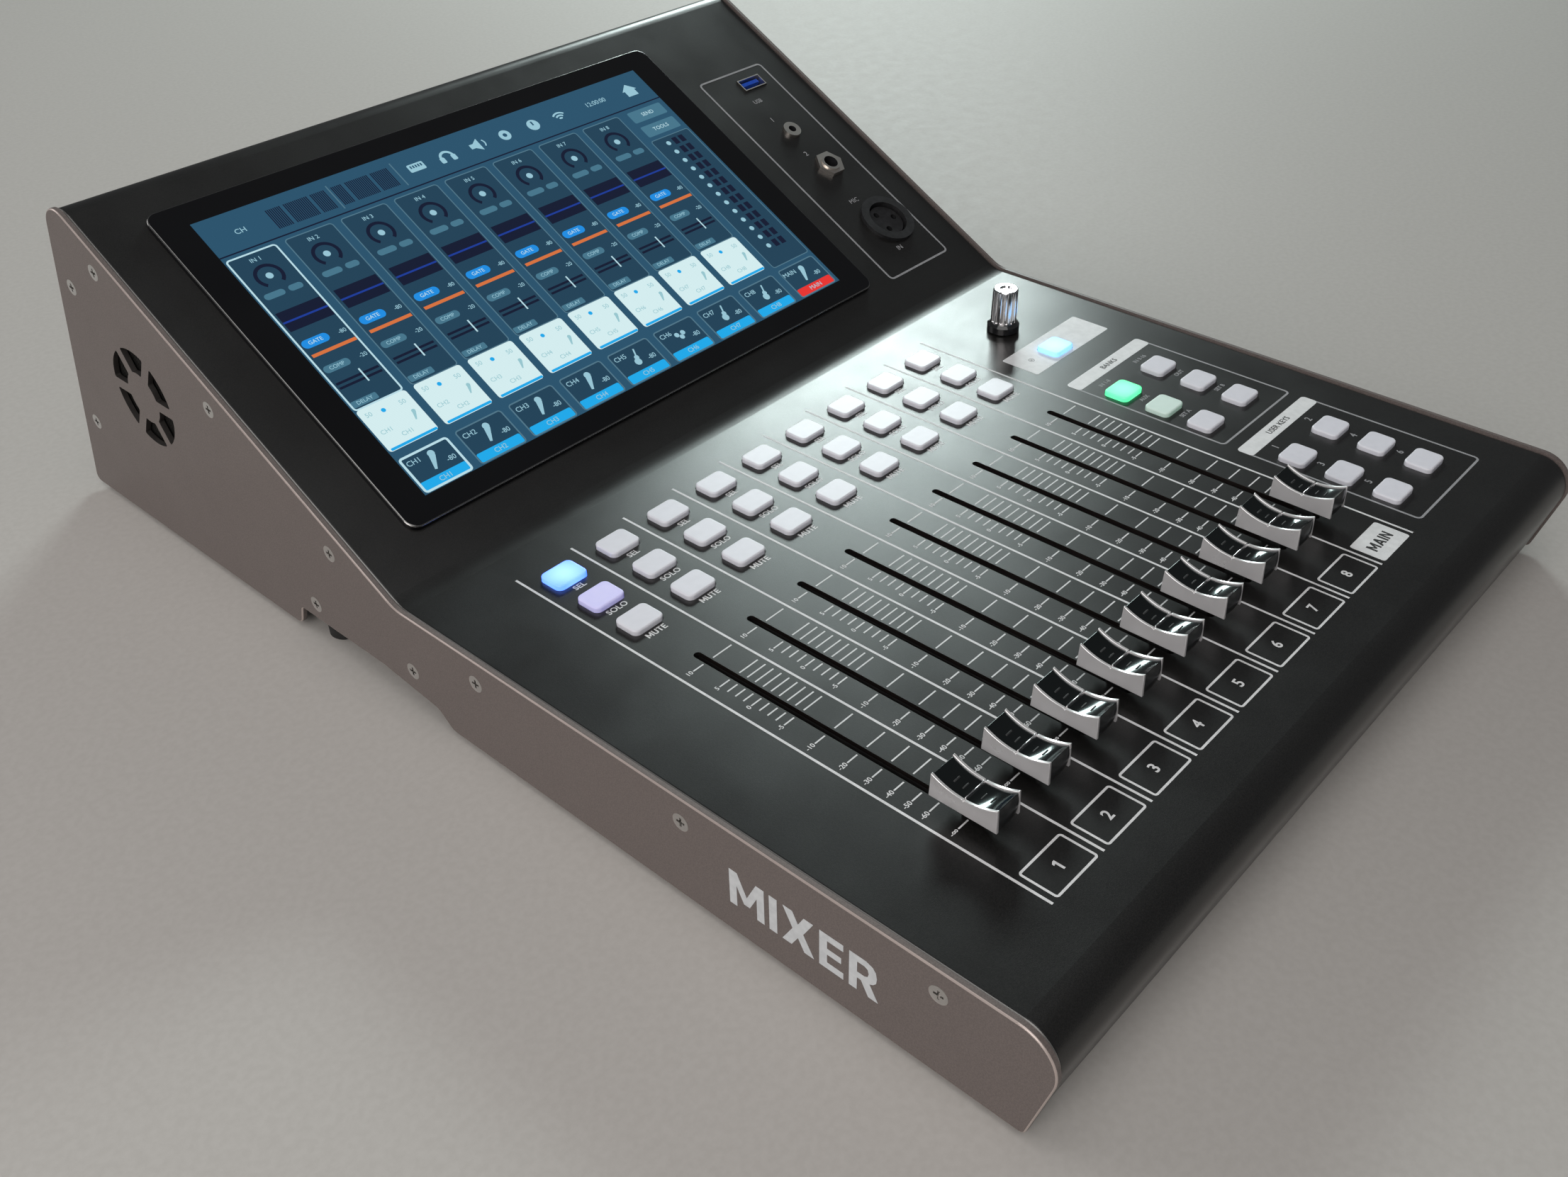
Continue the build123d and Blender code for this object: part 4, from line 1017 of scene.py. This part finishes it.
def ui_meter_column():
    """The column right of the strips: two buttons, level dots, and the main tile."""
    left, right = 193.8, 216.0
    ui["panel"].rounded(left, 18.4, right, 98.0, 1.4, 2 * LEVEL)
    for y, words in ((112.2, "SEND"), (103.2, "TOOLS")):
        ui["pill"].rounded(left + 1.4, y - 3.2, right - 1.6, y + 3.2, 0.8, 3 * LEVEL)
        ui["white"].text(words, (left + right) / 2, y, 2.0, 4 * LEVEL)
    rows = 13
    for i in range(rows):
        y = 94.0 - i * 5.4
        ui["text"].disc(left + 7.4, y, 1.15, 3 * LEVEL, 14)
        ui["dark"].bar(left + 10.4, y - 1.9, left + 13.0, y + 1.9, 3 * LEVEL)
        ui["dark"].bar(left + 14.2, y - 1.9, left + 16.8, y + 1.9, 3 * LEVEL)
    ui["edge"].frame(left, 18.4, right, 98.0, 1.4, 0.4, 3 * LEVEL)
    ui_tile(8, left, right - 0.6, "red", "MAIN")


ui["base"].bar(0, 0, SCREEN_WIDTH, SCREEN_HEIGHT, LEVEL)
ui["dark"].bar(0, 117.4, SCREEN_WIDTH, 118.0, 2 * LEVEL)
for strip_index in range(8):
    ui_strip(strip_index)
ui_top_bar()
ui_meter_column()
for colour_name, colour in UI_COLOURS.items():
    ink = screen_ink("lit_" + colour_name, colour)
    ui[colour_name].finish("screen_" + colour_name, ink, "screen_glass")

# ---------------------------------------------------------------- side lettering, vents and rear print
WORD_Y, WORD_Z, WORD_SIZE, WORD_THICKNESS = -154.0, 21.0, 13.5, 0.08
side_words = Sheet((-HALF_WIDTH, 0, 0), (0, -1, 0), (0, 0, 1))
side_words.heavy("MIXER", -WORD_Y, WORD_Z, WORD_SIZE, WORD_THICKNESS)
side_words.finish("side_lettering", SIDE_INK, "taupe_powder")

WIRE, WIRE_PITCH, MESH_DEPTH = 0.45, 1.25, 2.6
for side, side_name in ((-1, "left"), (1, "right")):
    grille = bmesh.new()
    depth = side * (HALF_WIDTH - MESH_DEPTH)
    steps = int(VENT_REACH / WIRE_PITCH)
    for i in range(-steps, steps + 1):
        offset = i * WIRE_PITCH
        reach = math.sqrt(VENT_REACH ** 2 - offset ** 2)
        low, high = offset - WIRE / 2, offset + WIRE / 2
        x0, x1 = sorted((depth, depth - side * WIRE))
        brick(grille, x0, x1, VENT_Y + low, VENT_Y + high, VENT_Z - reach, VENT_Z + reach)
        x0, x1 = sorted((depth - side * WIRE, depth - side * 2 * WIRE))
        brick(grille, x0, x1, VENT_Y - reach, VENT_Y + reach, VENT_Z + low, VENT_Z + high)
    piece(f"vent_mesh_{side_name}", grille, [VENT_DARK], smooth=None)

rear = Sheet(REAR_FOOT, (-1, 0, 0), REAR_UP)
# Words, x, height up the wall, capital height and boldness.
rear_labels = [(str(i + 1), (i - 3.5) * XLR_PITCH, 110.2, 2.6, 0.015) for i in range(8)]
rear_labels += [(f"OUT {i + 1}", (i - 3.5) * XLR_PITCH, 72.2, 2.4, 0.012) for i in range(4)]
rear_labels += [(f"LINE {i + 1}", XLR_FIRST + i * LINE_PITCH, 64.6, 2.2, 0.012) for i in range(5)]
rear_labels += [("LAN", 60.0, 35.4, 2.4, 0.012), ("USB", 32.0, 35.4, 2.4, 0.012),
                ("POWER", -103.0, 35.4, 2.4, 0.012)]
for words, x, row, size, bold in rear_labels:
    rear.text(words, x, row, size, bold=bold)
rear.finish("rear_print", WHITE_INK, "black_powder")

# ---------------------------------------------------------------- stage: floor, lights, camera
FLOOR_HALF = 6.0


def build_floor():
    mesh = bpy.data.meshes.new("floor")
    corners = [(-FLOOR_HALF, -FLOOR_HALF, 0), (FLOOR_HALF, -FLOOR_HALF, 0),
               (FLOOR_HALF, FLOOR_HALF, 0), (-FLOOR_HALF, FLOOR_HALF, 0)]
    mesh.from_pydata(corners, [], [(0, 1, 2, 3)])
    paint_job = plastic("pale_floor", (0.50, 0.475, 0.45), (0.53, 0.505, 0.48), 0.6, 0.05, 40.0)
    mesh.materials.append(paint_job)
    floor = bpy.data.objects.new("floor", mesh)
    bpy.context.scene.collection.objects.link(floor)


def area_light(name, position, target, size, power, colour):
    data = bpy.data.lights.new(name, "AREA")
    data.shape = "RECTANGLE"
    data.size, data.size_y = size
    data.energy = power
    data.color = colour
    lamp = bpy.data.objects.new(name, data)
    lamp.location = position
    lamp.rotation_euler = (Vector(target) - Vector(position)).to_track_quat("-Z", "Y").to_euler()
    bpy.context.scene.collection.objects.link(lamp)


def build_lights():
    world = bpy.data.worlds.new("studio")
    world.use_nodes = True
    background = world.node_tree.nodes["Background"]
    background.inputs["Color"].default_value = (0.62, 0.64, 0.66, 1)
    background.inputs["Strength"].default_value = 0.15
    bpy.context.scene.world = world
    bpy.context.scene.view_settings.view_transform = "Standard"
    bend = (0.09, 0.05, 0.05)
    area_light("rear_softbox", (1.22, 0.98, 0.74), bend, (0.50, 0.26), 11.5, (0.86, 1.0, 0.98))
    area_light("left_fill", (-1.5, -0.6, 0.9), (-0.1, 0.0, 0.05), (1.2, 1.0), 14.0, (1.0, 0.96, 0.93))
    area_light("rear_fill", (-0.9, 1.6, 0.8), (0.0, 0.2, 0.05), (1.0, 0.8), 7.0, (1.0, 0.99, 0.98))
    area_light("top_soft", (-0.45, -0.35, 1.7), (0.0, 0.0, 0.0), (1.4, 1.5), 9.0, (1.0, 0.99, 0.97))


# The photo's camera, fitted to the printed strip grid.
CAMERA_PLACE = Vector((-364.9, -331.0, DECK_Z + 295.4)) * MM
CAMERA_RIGHT = Vector((0.66745, -0.74451, -0.01480))
CAMERA_DOWN = Vector((-0.45644, -0.39334, -0.79809))
CAMERA_FORWARD = Vector((0.58836, 0.53944, -0.60236))
SENSOR = 36.0
FOCAL = 34.52


def build_camera():
    data = bpy.data.cameras.new("camera")
    data.sensor_width = SENSOR
    data.sensor_fit = "HORIZONTAL"
    data.lens = FOCAL
    data.clip_start = 0.01
    camera = bpy.data.objects.new("camera", data)
    columns = (CAMERA_RIGHT, -CAMERA_DOWN, -CAMERA_FORWARD, CAMERA_PLACE)
    rows = [[column[axis] for column in columns] for axis in range(3)]
    camera.matrix_world = Matrix(rows + [[0, 0, 0, 1]])
    bpy.context.scene.collection.objects.link(camera)
    bpy.context.scene.camera = camera


build_floor()
build_lights()
build_camera()
